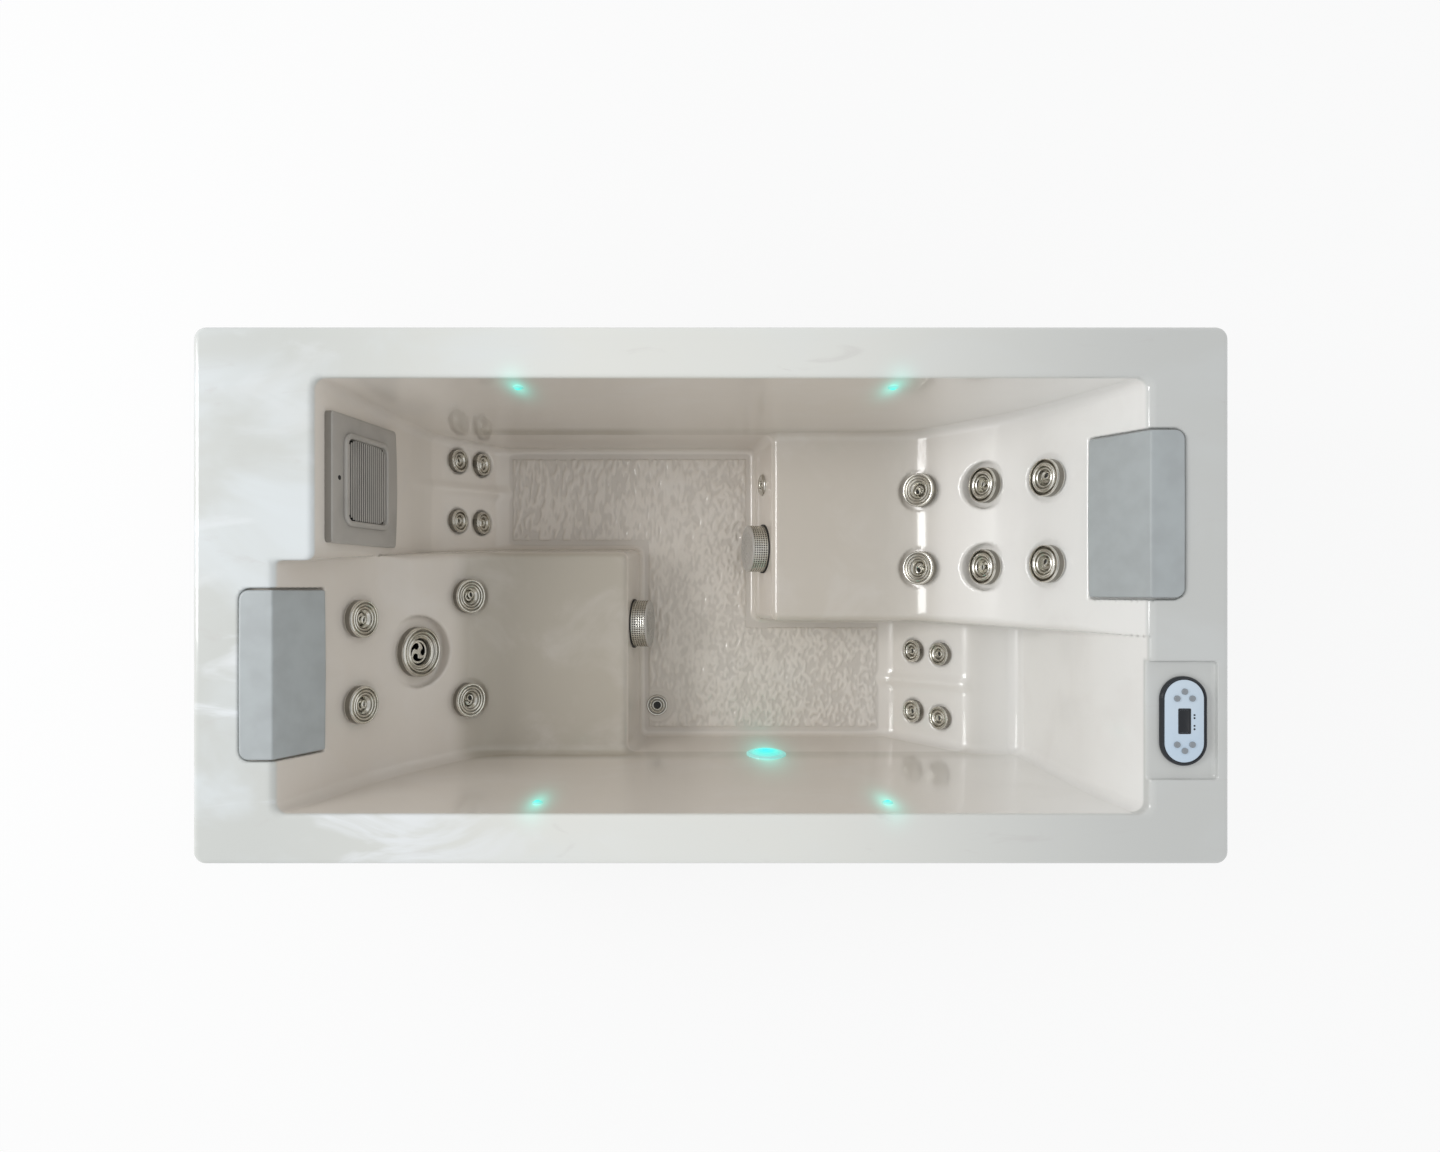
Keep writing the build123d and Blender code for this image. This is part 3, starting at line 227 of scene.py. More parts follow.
def open_up(a, b, r):
    """Two hollows together, with the edge between their walls rounded."""
    edge = np.hypot(np.maximum(r - a, 0), np.maximum(r - b, 0))
    return np.maximum(r, np.minimum(a, b)) - edge


def swept(a, b, k):
    """Where two hollows overlap at a wide angle, with a gentle sweep between their walls."""
    return np.maximum(a, b) + np.maximum(k - np.abs(a - b), 0) ** 2 / (4 * k)


def beyond(x, d, wall, leg, side):
    """How far a point is behind one straight leg of an end wall's outline."""
    (x0, d0), (x1, d1) = wall[leg], wall[leg + 1]
    length = np.hypot(x1 - x0, d1 - d0)
    return side * ((x1 - x0) * (d - d0) - (d1 - d0) * (x - x0)) / length


def riser_x(riser, d):
    (x0, d0), (x1, d1) = riser
    return x0 + (x1 - x0) * (d - d0) / (d1 - d0)


def rib(y, middle):
    """A soft rib across a foot slope."""
    return RIB_HEIGHT * np.exp(-(((y - middle) / RIB_WIDTH) ** 2))


def seat_back(x, d, wall, side):
    """A seat with its sloped back."""
    back = swept(beyond(x, d, wall, 0, side), beyond(x, d, wall, 1, side), BACK_SWEEP)
    return swept(back, d - SEAT_D, SEAT_SWEEP)


def joined_sides(seat, seat_side, foot, foot_side):
    """Two hollows side by side, with a seam that is sharper where they are nearly level."""
    seam_r = np.clip(0.45 * np.abs(seat - foot), 1, SEAT_EDGE_R)
    return seam_r, open_up(seat, seat_side, seam_r), open_up(foot, foot_side, seam_r)


def basin(x, y, d):
    """The moulded hollow for water and bathers."""
    left_back = seat_back(x, d, LEFT_BACK, 1)
    filter_slope = beyond(x, d, FILTER_WALL, 1, 1) + rib(y, FILTER_RIB_Y)
    filter_wall = swept(beyond(x, d, FILTER_WALL, 0, 1), filter_slope, FILTER_SWEEP)
    seam = LEFT_SEAM_Y + LEFT_SEAM_LEAN * d - y
    seam_r, left_seat, filter_side = joined_sides(left_back, seam, filter_wall, -seam)
    left_seat = open_up(left_seat, riser_x(LEFT_RISER, d) - x, SEAT_EDGE_R)
    left = np.maximum(meet(left_seat, filter_side, seam_r), np.minimum(left_back, filter_wall))

    right_back = seat_back(x, d, RIGHT_BACK, -1)
    end_wall = beyond(x, d, SHELF_END, 0, -1), beyond(x, d, SHELF_END, 1, -1)
    end_wall = -swept(-end_wall[0], -end_wall[1], SHELF_SWEEP)
    foot_slope = beyond(x, d, SHELF_END, 3, -1) + rib(y, SHELF_RIB_Y)
    shelf_end = meet(end_wall, -swept(SEAT_D - d, -foot_slope, STEP_SWEEP), SHELF_R)
    seat_share = np.clip((RIGHT_BACK[0][0] - x) / (RIGHT_BACK[0][0] - RIGHT_BACK[-1][0]), 0, 1)
    seam = y - (RIGHT_SEAM_Y + RIGHT_SEAM_SHIFT * seat_share)
    seam_r, right_seat, shelf_side = joined_sides(right_back, seam, shelf_end, -seam)
    right_seat = open_up(right_seat, x - riser_x(RIGHT_RISER, d), SEAT_EDGE_R)
    right = np.maximum(meet(right_seat, shelf_side, seam_r), np.minimum(right_back, shelf_end))

    water = np.maximum(left, right)
    water = meet(water, y - north_y(d), SIDE_R)
    water = meet(water, south_y(d) - y, SIDE_R)
    foot_end = np.clip((np.abs(x + 30) - 460) / 60, 0, 1)
    return meet(water, d - FLOOR_D, FLOOR_R + (FOOT_R - FLOOR_R) * foot_end)


def pillow_pocket(x, y, d, pillow):
    """The moulded hollow that a pillow sits in."""
    behind = beyond(x, d, pillow.wall, 0, pillow.side)
    bed = open_up(d - PILLOW_SINK, behind - PILLOW_SINK, 6)
    half = (pillow.high - pillow.low) / 2 + POCKET_GAP
    middle = (pillow.high + pillow.low) / 2
    far_end = pillow.side * (pillow.end - POCKET_GAP * pillow.side - x)
    plan = meet(far_end, np.abs(y - middle) - half, 24)
    plan = np.maximum(plan, pillow.side * x)
    return meet(meet(plan, bed, 5), d - (pillow.foot + POCKET_GAP), 5)


def panel_tray(x, y, d):
    """The shallow tray round the control panel, open towards the water."""
    plan = meet(x - TRAY_END, np.abs(y - TRAY_Y) - TRAY_HALF, 6)
    plan = np.maximum(plan, TRAY_START - x)
    return meet(plan, d - TRAY_SINK, 6)


def dish(x, y, z, spot, radius):
    """The round moulded seat of a jet."""
    px, py, pz = x - spot.origin[0], y - spot.origin[1], z - spot.origin[2]
    high = px * spot.out[0] + py * spot.out[1] + pz * spot.out[2]
    out = np.sqrt(np.maximum(px * px + py * py + pz * pz - high * high, 0))
    return np.maximum(meet(out - radius, -high, 9), high - 80)


def shell_field(x, y, z):
    d = HEIGHT - z
    field = open_up(basin(x, y, d), d, RIM_R)
    inner_x = np.abs(x) - (HALF_LENGTH - CORNER_R)
    inner_y = np.abs(y) - (HALF_WIDTH - CORNER_R)
    outline = np.hypot(np.maximum(inner_x, 0), np.maximum(inner_y, 0))
    outline = outline + np.minimum(np.maximum(inner_x, inner_y), 0) - CORNER_R
    field = open_up(field, -outline, OUTER_R)
    for pillow in (LEFT_PILLOW, RIGHT_PILLOW):
        field = open_up(field, pillow_pocket(x, y, d, pillow), 3)
    field = open_up(field, panel_tray(x, y, d), 4)
    for size, spot in jets:
        reach = size.dish + 90
        if spot.origin[0] - reach < x.max() and spot.origin[0] + reach > x.min():
            field = open_up(field, dish(x, y, z, spot, size.dish), 5)
    return field


def pillow_field(pillow):
    """A firm pillow bent over the rim's edge."""
    middle = (pillow.high + pillow.low) / 2
    half = (pillow.high - pillow.low) / 2

    def field(x, y, z):
        d = HEIGHT - z
        proud = PILLOW_PROUD + PILLOW_CROWN * (1 - np.clip((y - middle) / half, -1, 1) ** 2)
        behind = beyond(x, d, pillow.wall, 0, pillow.side)
        bend = open_up(d + proud, behind + proud, 2.5)
        under = meet(PILLOW_BACK - d, PILLOW_BACK - behind, 3)
        sides = half - np.abs(y - middle)
        plan = open_up(pillow.side * (x - pillow.end), sides, 20)
        plan = open_up(plan, np.minimum(sides, pillow.foot - d), 1)
        plan = open_up(plan, pillow.foot - d, 6)
        return open_up(open_up(plan, bend, 4.5), under, 2)

    return field


# Meshes from fields


def surface_net(field, low, high, step, slabs=1):
    """The surface where a field is zero, as points and four-sided faces."""
    axes = [np.arange(a, b + step, step, dtype=np.float32) for a, b in zip(low, high)]
    xs, ys, zs = axes
    parts = np.array_split(xs[:, None, None], slabs)
    values = np.concatenate([field(part, ys[None, :, None], zs[None, None, :]) for part in parts])
    solid = values > 0
    across, along, up = (n - 1 for n in solid.shape)
    count = np.zeros((across, along, up), np.uint8)
    corners = [(i, j, k) for i in (0, 1) for j in (0, 1) for k in (0, 1)]
    for i, j, k in corners:
        count += solid[i : i + across, j : j + along, k : k + up]
    active = (count > 0) & (count < 8)
    cells = np.argwhere(active)
    number = np.full(active.shape, -1, np.int32)
    number[active] = np.arange(len(cells))
    total = np.zeros((len(cells), 3))
    hits = np.zeros(len(cells))
    for a in corners:
        for axis in range(3):
            if a[axis]:
                continue
            b = tuple(1 if n == axis else a[n] for n in range(3))
            value_a = values[tuple((cells + a).T)].astype(float)
            value_b = values[tuple((cells + b).T)].astype(float)
            cross = (value_a > 0) != (value_b > 0)
            share = np.where(cross, value_a / np.where(cross, value_a - value_b, 1), 0)
            spots = np.array(a, float) + share[:, None] * (np.array(b) - np.array(a))
            total += np.where(cross[:, None], spots, 0)
            hits += cross
    points = (cells + total / hits[:, None]) * step + np.array(low)
    faces = []
    for axis in range(3):
        change = np.diff(solid.astype(np.int8), axis=axis)
        edges = np.argwhere(change)
        rising = change[tuple(edges.T)] > 0
        one, two = np.zeros(3, int), np.zeros(3, int)
        one[(axis + 1) % 3] = 1
        two[(axis + 2) % 3] = 1
        room = (edges[:, (axis + 1) % 3] > 0) & (edges[:, (axis + 2) % 3] > 0)
        limits = np.array(active.shape)
        room &= np.all(edges < limits, axis=1)
        edges, rising = edges[room], rising[room]
        shifts = (0 * one, one, one + two, two)
        quads = np.stack([number[tuple((edges - shift).T)] for shift in shifts], axis=1)
        quads[rising] = quads[rising][:, ::-1]
        faces.append(quads)
    return points, np.concatenate(faces)


def slope_of(field, points, reach=0.4):
    """The field at points, and which way it rises."""
    value = field(*points.T)
    rise = np.empty_like(points)
    for axis in range(3):
        shift = np.zeros(3)
        shift[axis] = reach
        rise[:, axis] = (field(*(points + shift).T) - field(*(points - shift).T)) / (2 * reach)
    return value, rise


def settle(field, points, rounds=3):
    """Move points onto the field's surface."""
    for _ in range(rounds):
        value, rise = slope_of(field, points)
        step = value / np.maximum((rise**2).sum(1), 0.2)
        points = points - np.clip(step, -3, 3)[:, None] * rise
    return points


def facing(field, points):
    """The outward direction at points on the field's surface."""
    rise = slope_of(field, points)[1]
    return -rise / np.maximum(np.linalg.norm(rise, axis=1), 1e-6)[:, None]


def edge_keys(faces):
    """Each face's edges as directed pairs, and how often each undirected one is used."""
    sides = faces.shape[1]
    pairs = [faces[:, [i, (i + 1) % sides]] for i in range(sides)]
    pairs = np.concatenate(pairs)
    ends = np.sort(pairs, axis=1).astype(np.int64)
    keys = ends[:, 0] * (ends.max() + 1) + ends[:, 1]
    _, index, uses = np.unique(keys, return_inverse=True, return_counts=True)
    return pairs, uses[index]


def rim_edges(faces):
    """The directed edges that only one face uses."""
    pairs, uses = edge_keys(faces)
    return pairs[uses == 1]


def compact(points, faces):
    """Drop the points that no face uses."""
    used = np.unique(faces)
    renumber = np.full(len(points), -1)
    renumber[used] = np.arange(len(used))
    return points[used], renumber[faces]


def without(points, faces, gone):
    """Remove points with their faces, and any point where two rims then touch."""
    keep = ~gone[faces].any(1)
    faces = faces[keep]
    while True:
        ends = rim_edges(faces)[:, 0]
        names, uses = np.unique(ends, return_counts=True)
        pinched = names[uses > 1]
        if not len(pinched):
            return compact(points, faces)
        bad = np.zeros(len(points), bool)
        bad[pinched] = True
        faces = faces[~bad[faces].any(1)]


def thinned(points, faces, ratio):
    """Fewer triangles where the surface is nearly flat."""
    mesh = bpy.data.meshes.new("draft")
    mesh.from_pydata(points.tolist(), [], faces.tolist())
    draft = bpy.data.objects.new("draft", mesh)
    bpy.context.scene.collection.objects.link(draft)
    thin = draft.modifiers.new("thin", "DECIMATE")
    thin.ratio = ratio
    thin.use_collapse_triangulate = True
    result = draft.evaluated_get(bpy.context.evaluated_depsgraph_get()).to_mesh()
    moved = np.empty(len(result.vertices) * 3, np.float32)
    result.vertices.foreach_get("co", moved)
    corners = np.empty(len(result.loops), np.int32)
    result.loops.foreach_get("vertex_index", corners)
    bpy.data.objects.remove(draft)
    bpy.data.meshes.remove(mesh)
    return moved.reshape(-1, 3).astype(float), corners.reshape(-1, 3)


# Objects


def piece(name, points, faces, finish, body, normals=None, sharp=None):
    """A mesh object that rides on a body. Points are in millimetres."""
    mesh = bpy.data.meshes.new(name)
    faces = faces.tolist() if isinstance(faces, np.ndarray) else faces
    mesh.from_pydata((np.asarray(points) * MM).tolist(), [], faces)
    finishes = finish if isinstance(finish, (list, tuple)) else [finish]
    for one in finishes:
        mesh.materials.append(one)
    mesh.shade_smooth()
    if normals is not None:
        mesh.normals_split_custom_set_from_vertices(normals.tolist())
    elif sharp:
        mesh.set_sharp_from_angle(angle=radians(sharp))
    made = bpy.data.objects.new(name, mesh)
    bpy.context.scene.collection.objects.link(made)
    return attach(made, body)


class Build:
    """Gathers points and faces, in places on the tub, for one object."""

    def __init__(self):
        self.points = []
        self.faces = []
        self.slots = []

    def add(self, points, faces, slot=0):
        start = sum(len(p) for p in self.points)
        self.points.append(np.asarray(points, float).reshape(-1, 3))
        self.faces.extend([[start + n for n in face] for face in faces])
        self.slots.extend([slot] * len(faces))

    def skin(self, rings, caps=False, loop=False, slot=0):
        """Faces between rings of points that run anticlockwise seen from the last ring."""
        rings = np.asarray(rings, float)
        m, k = rings.shape[:2]
        faces = []
        for i in range(m if loop else m - 1):
            for j in range(k):
                a, b = i * k + j, i * k + (j + 1) % k
                up = ((i + 1) % m) * k
                faces.append([a, b, up + (j + 1) % k, up + j])
        if caps:
            faces.append(list(range(k))[::-1])
            faces.append([(m - 1) * k + j for j in range(k)])
        self.add(rings, faces, slot)

    def turned(self, spot, profile, segments=96, slot=0, wave=None):
        """A body turned about a place's outward line from a (radius, height) profile. It runs
        from underneath, outwards and up, and back on top: to the axis, or round a hole."""
        angles = np.arange(segments) * 2 * pi / segments
        rings = []
        for radius, height, *_ in profile:
            radii = np.full(segments, float(radius))
            if wave is not None:
                radii = radii - wave(angles, radius, height)
            rings.append(at(spot, radii * np.cos(angles), radii * np.sin(angles), height))
        closed = profile[0][0] > 0
        start = len(self.slots)
        if closed:
            self.skin(rings, loop=True, slot=slot)
        else:
            self.capped(rings, slot)
        for band, (_, _, *special) in enumerate(profile if closed else profile[1:-1]):
            if special:
                first = start + band * segments
                self.slots[first : first + segments] = special * segments

    def capped(self, rings, slot):
        """A turned body whose first and last rings have shrunk to points on the axis."""
        rings = np.asarray(rings)
        self.skin(rings[1:-1], slot=slot)
        m, k = rings.shape[0] - 2, rings.shape[1]
        base = sum(len(p) for p in self.points) - m * k
        self.points.append(np.array([rings[0, 0], rings[-1, 0]]))
        low, high = base + m * k, base + m * k + 1
        last = base + (m - 1) * k
        for j in range(k):
            self.faces.append([low, base + (j + 1) % k, base + j])
            self.faces.append([high, last + j, last + (j + 1) % k])
        self.slots.extend([slot] * (2 * k))

    def finish(self, name, finish, body, sharp=35):
        made = piece(name, np.concatenate(self.points), self.faces, finish, body, sharp=sharp)
        made.data.polygons.foreach_set("material_index", self.slots)
        return made


def at(spot, across, up, out):
    """Points in millimetres from distances along a place's directions."""
    across, up, out = np.broadcast_arrays(np.asarray(across, float), up, out)
    sideways = across[..., None] * spot.across + up[..., None] * spot.up
    return spot.origin + sideways + out[..., None] * spot.out


def softened(corners, radius, closed=False, steps=3):
    """An outline with each corner replaced by a small arc."""
    corners = np.asarray(corners, float)
    count = len(corners)
    made = []
    for i, here in enumerate(corners):
        if not closed and i in (0, count - 1):
            made.append(here)
            continue
        back, ahead = corners[i - 1] - here, corners[(i + 1) % count] - here
        span = min(radius, 0.45 * np.linalg.norm(back), 0.45 * np.linalg.norm(ahead))
        start = here + unit(back) * span
        end = here + unit(ahead) * span
        for t in np.linspace(0, 1, steps + 1):
            made.append((1 - t) ** 2 * start + 2 * t * (1 - t) * here + t * t * end)
    return np.array(made)


def rounded_oblong(width, height, radius, steps=8):
    """Anticlockwise points round an oblong with round corners."""
    made = []
    for turn, (sx, sy) in enumerate([(1, 1), (-1, 1), (-1, -1), (1, -1)]):
        for t in np.linspace(0, pi / 2, steps + 1):
            angle = t + turn * pi / 2
            x = sx * (width / 2 - radius) + radius * cos(angle)
            y = sy * (height / 2 - radius) + radius * sin(angle)
            made.append((x, y))
    return np.array(made)


# Finishes


class Wire:
    """A shader socket's output that sums can be written with."""

    def __init__(self, nodes, socket):
        self.nodes = nodes
        self.socket = socket

    def maths(self, operation, *values):
        return self.nodes.node("Math", {"operation": operation}, dict(enumerate(values)))

    def __add__(self, other):
        return self.maths("ADD", self, other)

    def __sub__(self, other):
        return self.maths("SUBTRACT", self, other)

    def __rsub__(self, other):
        return self.maths("SUBTRACT", other, self)

    def __mul__(self, other):
        return self.maths("MULTIPLY", self, other)

    def __truediv__(self, other):
        return self.maths("DIVIDE", self, other)

    def __pow__(self, other):
        return self.maths("POWER", self, other)

    def __rpow__(self, other):
        return self.maths("POWER", other, self)

    __radd__ = __add__
    __rmul__ = __mul__

    def beside(self, name):
        """Another output of the same node."""
        return Wire(self.nodes, self.socket.node.outputs[name])

    def clamped(self):
        return self.maths("MINIMUM", self.maths("MAXIMUM", self, 0.0), 1.0)

    def rise(self, low, high):
        """From 0 at low to 1 at high, smoothly."""
        settings = {"interpolation_type": "SMOOTHSTEP"}
        return self.nodes.node("MapRange", settings, {"Value": self, "From Min": low, "From Max": high})


def shade(red, green, blue):
    """A screen colour, as 0 to 255, in the renderer's own terms."""
    bright = [c / 255 for c in (red, green, blue)]
    linear = [((c + 0.055) / 1.055) ** 2.4 if c > 0.0405 else c / 12.92 for c in bright]
    return (*linear, 1.0)


def dimmed(colour, share):
    return tuple(share * c for c in colour[:3]) + (1.0,)


class Nodes:
    """A shader node tree, for a material or for the room."""

    def __init__(self, owner):
        owner.use_nodes = True
        self.tree = owner.node_tree
        self.tree.nodes.clear()

    def plug(self, socket, value):
        if isinstance(value, Wire):
            self.tree.links.new(value.socket, socket)
        else:
            socket.default_value = value

    def node(self, kind, settings=None, sockets=None, out=0):
        made = self.tree.nodes.new("ShaderNode" + kind)
        for key, value in (settings or {}).items():
            setattr(made, key, value)
        for key, value in (sockets or {}).items():
            self.plug(made.inputs[key], value)
        return Wire(self, made.outputs[out]) if made.outputs else made

    def spots(self):
        return self.node("TexCoord", out="Object")

    def parts(self, vector):
        split = self.node("SeparateXYZ", sockets={0: vector})
        return [split.beside(n) for n in range(3)]

    def stretched(self, vector, scale, turn=(0, 0, 0)):
        return self.node("Mapping", sockets={"Vector": vector, "Scale": scale, "Rotation": turn})

    def noise(self, vector, scale, detail=3.0, roughness=0.5, distortion=0.0):
        sockets = {"Vector": vector, "Scale": scale, "Detail": detail}
        sockets |= {"Roughness": roughness, "Distortion": distortion}
        return self.node("TexNoise", sockets=sockets)

    def distance(self, vector, point):
        """How far a vector is from a fixed point."""
        return self.node("VectorMath", {"operation": "DISTANCE"}, {0: vector, 1: point}, out="Value")

    def mix(self, share, first, second):
        return self.node("Mix", {"data_type": "RGBA"}, {0: share, 6: first, 7: second}, out=2)

    def bump(self, height, distance, strength=1.0):
        return self.node("Bump", sockets={"Strength": strength, "Distance": distance, "Height": height})


class Finish(Nodes):
    """One material, built from shader nodes."""

    def __init__(self, name, **uniform):
        self.material = bpy.data.materials.new(name)
        super().__init__(self.material)
        self.skin = self.tree.nodes.new("ShaderNodeBsdfPrincipled")
        self.output = self.node("OutputMaterial", sockets={0: Wire(self, self.skin.outputs[0])})
        for words, value in uniform.items():
            self.skin.inputs[words.replace("_", " ").title()].default_value = value

    def set(self, **sockets):
        for words, value in sockets.items():
            self.plug(self.skin.inputs[words.replace("_", " ").title()], value)
        return self.material


def marbled(finish, spots, rim_shaded_colour):
    """Pearly clouds, bright streaks and faint grey veins over a colour. The clouds and streaks gather
    towards the west and south, where they are partly marbling and partly painted reflection.
    """
    x, y, _ = finish.parts(spots)
    west = 1 - x.rise(-0.75, -0.05)
    south = 1 - y.rise(-0.3, 0.3)
    clouds = finish.noise(finish.stretched(spots, (1.6, 2.6, 2.0), (0, 0, 0.6)), 1.6, 4.0, 0.55, 0.5)
    streaks = finish.noise(finish.stretched(spots, (1.5, 4.5, 3.0), (0, 0, 0.75)), 1.9, 4.0, 0.58, 0.9)
    veins = finish.noise(finish.stretched(spots, (3.0, 9.0, 3.0), (0, 0, -0.15)), 2.0, 4.0, 0.6, 1.0)
    # Marbling, and painted reflection that is strongest at the west and south.
    cloud_and_sheen_share = (clouds.rise(0.42, 0.72) * (0.25 + 0.75 * west)).clamped() * 0.7
    streak_and_sheen_share = (streaks.rise(0.5, 0.68) * west * (0.3 + 0.7 * south)).clamped() * 0.7
    pearl = finish.mix(cloud_and_sheen_share, rim_shaded_colour, shade(226, 232, 235))
    pearl = finish.mix(streak_and_sheen_share, pearl, shade(240, 243, 246))
    return finish.mix(veins.rise(0.6, 0.76) * 0.25, pearl, shade(196, 190, 188))


def lamp_glow(finish, spots):
    """The light that each lamp leaves on the wall round it."""
    glow = None
    low_spots = finish.stretched(spots, tuple(LAMP_STRETCH))
    reaches = [(spot, 0.019) for spot in small_lamp_places] + [(main_lamp_place, 0.032)]
    for spot, reach in reaches:
        away = finish.distance(low_spots, tuple(spot.origin * MM * LAMP_STRETCH))
        light = LAMP_POWER * 2.718 ** (-1.0 * (away / reach) ** 1.35)
        glow = light if glow is None else glow + light
    return finish.mix(glow.clamped(), (0, 0, 0, 1), shade(0, 225, 205))


def acrylic_finish():
    """Pearly moulded acrylic: marbled on the rim, plainer inside, with painted light and shade over
    both.
    """
    finish = Finish("acrylic", coat_weight=0.5, coat_roughness=0.04, emission_strength=1.0)
    spots = finish.spots()
    x, y, z = finish.parts(spots)
    tray = x.rise(0.852, 0.862) * (1 - y.rise(-0.135, -0.125)) * z.rise(0.738, 0.744)
    inside = (1 - z.rise(0.746, 0.754)) * (1 - tray)

    # Painted shade: the hollow's walls are warmer and darker towards the left, and paler towards the
    # right.
    walls = finish.mix(x.rise(0.3, 0.85), shade(220, 212, 202), shade(244, 243, 240))
    # Painted shadow on the left seat, at the seat's level and fading out towards the right.
    seat_shadow_level = z.rise(0.276, 0.288) * (1 - z.rise(0.31, 0.37)) * (1 - x.rise(0.6, 0.8))
    seat_share = seat_shadow_level * (0.3 + 0.35 * (1 - x.rise(-0.25, -0.1)))
    walls = finish.mix(seat_share, walls, shade(160, 152, 134))
    # Painted light that brightens the steep filter wall at the left end.
    painted_filter_light = y.rise(0.08, 0.12) * (1 - x.rise(-0.62, -0.5))
    walls = finish.mix(painted_filter_light * 0.8, walls, shade(240, 233, 224))
    clouds = finish.noise(finish.stretched(spots, (3.0, 3.0, 5.0)), 2.0, 4.0, 0.6, 0.6)
    hollow = finish.mix(clouds.rise(0.45, 0.75) * 0.22, walls, shade(228, 224, 220))
    # Painted shade in the valleys between the floor pad's ridges, picked out by height.
    valley_shade = z.rise(0.1098, 0.1099) * (1 - z.rise(0.1104, 0.1122))
    hollow = finish.mix(valley_shade * 0.22, hollow, shade(146, 138, 128))

    # Painted shade: the rim is darker towards both ends and lighter in the middle.
    rim_shaded_colour = finish.mix(x.rise(-1.0, -0.2), shade(206, 208, 204), shade(232, 232, 226))
    rim_shaded_colour = finish.mix(x.rise(0.1, 1.0), rim_shaded_colour, shade(206, 207, 204))
    fine = finish.noise(spots, 900.0, 2.0)
    return finish.set(
        base_color=finish.mix(inside, marbled(finish, spots, rim_shaded_colour), hollow),
        roughness=0.16 + 0.05 * fine,
        emission_color=lamp_glow(finish, spots),
    )


def metal_finish(name, colour, roughness, grain=0.03):
    """Polished or brushed metal with faint handling marks."""
    finish = Finish(name, metallic=1.0)
    spots = finish.spots()
    marks = finish.noise(spots, 260.0, 4.0, 0.7)
    dull = finish.noise(spots, 30.0, 3.0)
    return finish.set(
        base_color=finish.mix(dull.rise(0.35, 0.75), colour, dimmed(colour, 0.78)),
        roughness=roughness + 2 * grain * (marks - 0.5),
        normal=finish.bump(marks, 0.00006, 0.5),
    )


def moulded_finish(name, colour, roughness=0.42, grain=1400.0, depth=0.00005):
    """Moulded plastic or rubber with a fine spark-eroded grain."""
    finish = Finish(name)
    spots = finish.spots()
    pebble = finish.noise(spots, grain, 3.0, 0.6)
    cast = finish.noise(spots, 9.0, 3.0)
    return finish.set(
        base_color=finish.mix(cast.rise(0.4, 0.7), colour, dimmed(colour, 0.86)),
        roughness=roughness + 0.14 * (pebble - 0.5),
        normal=finish.bump(pebble, depth, 0.6),
    )


def foam_finish():
    """Skinned foam: satin, with a fine pebbled surface and soft dents."""
    finish = Finish("pillow_foam", coat_weight=0.12, coat_roughness=0.35)
    spots = finish.spots()
    pebble = finish.node("TexVoronoi", {"feature": "SMOOTH_F1"}, {"Vector": spots, "Scale": 700.0})
    dents = finish.noise(spots, 22.0, 2.0)
    return finish.set(
        base_color=finish.mix(dents.rise(0.3, 0.75), shade(176, 182, 183), shade(169, 174, 175)),
        roughness=0.40 + 0.1 * pebble,
        normal=finish.bump(pebble * 0.25 + dents, 0.00035, 0.5),
    )


def hose_finish():
    """Clear, slightly clouded tube."""
    finish = Finish("hose", alpha=0.55)
    haze = finish.noise(finish.spots(), 60.0, 3.0)
    return finish.set(
        base_color=finish.mix(haze, shade(210, 216, 214), (0.9, 0.9, 0.9, 1.0)),
        roughness=0.15 + 0.1 * haze,
    )


def lamp_finish(name, middles, reach):
    """A lit lens, brightest in the middle."""
    finish = Finish(name, emission_strength=1.0, roughness=0.12)
    spots = finish.spots()
    light = None
    for spot in middles:
        away = finish.distance(spots, tuple(spot.origin * MM))
        near = 1 - away.rise(0.15 * reach, reach)
        light = near if light is None else light + near
    share = light.clamped()
    return finish.set(
        base_color=finish.mix(share, shade(178, 205, 200), shade(20, 215, 200)),
        emission_color=finish.mix(share, shade(70, 150, 145), shade(10, 235, 220)),
    )


BOARD_PITCH = 0.0895


def board_finish():
    """Composite cladding boards with fine grain and shadow gaps."""
    finish = Finish("board")
    spots = finish.spots()
    up = finish.parts(spots)[2]
    grain = finish.noise(finish.stretched(spots, (3.0, 3.0, 70.0)), 3.0, 6.0, 0.65, 0.4)
    tone = finish.noise(finish.stretched(spots, (0.1, 0.1, 9.0)), 1.0, 1.0)
    phase = finish.node("Math", {"operation": "FRACT"}, {0: up / BOARD_PITCH + 0.06})
    gap = 1 - phase.maths("MINIMUM", phase, 1 - phase).rise(0.0, 0.035)
    colour = finish.mix(grain, shade(120, 112, 104), shade(150, 141, 131))
    colour = finish.mix(tone.rise(0.4, 0.6) * 0.35, colour, shade(104, 97, 90))
    return finish.set(
        base_color=finish.mix(gap, colour, shade(42, 39, 36)),
        roughness=0.55 + 0.15 * grain,
        normal=finish.bump(grain * 0.2 - gap, 0.0012, 0.9),
    )


def painted_finish(name, colour, roughness=0.35):
    """Powder-coated or painted metal."""
    finish = Finish(name, metallic=0.3)
    spots = finish.spots()
    peel = finish.noise(spots, 350.0, 2.0)
    dust = finish.noise(spots, 12.0, 4.0)
    return finish.set(
        base_color=finish.mix(dust.rise(0.4, 0.75), colour, dimmed(colour, 0.8)),
        roughness=roughness + 0.1 * dust,
        normal=finish.bump(peel, 0.0001, 0.5),
    )


def paper_finish():
    """Pleated filter paper, with its folds upright, and painted shade that darkens one half of each
    fold.
    """
    finish = Finish("paper", roughness=0.85)
    spots = finish.spots()
    x, y, _ = finish.parts(spots)
    turn = finish.node("Math", {"operation": "ARCTAN2"}, {0: y - 0.247, 1: x + 0.912})
    fold = finish.node("Math", {"operation": "SINE"}, {0: turn * 90.0})
    # Painted shade: each fold is lighter on one half and darker on the other.
    return finish.set(
        base_color=finish.mix(0.5 + 0.5 * fold, shade(188, 190, 190), shade(238, 240, 240)),
        normal=finish.bump(fold, 0.002, 0.8),
    )


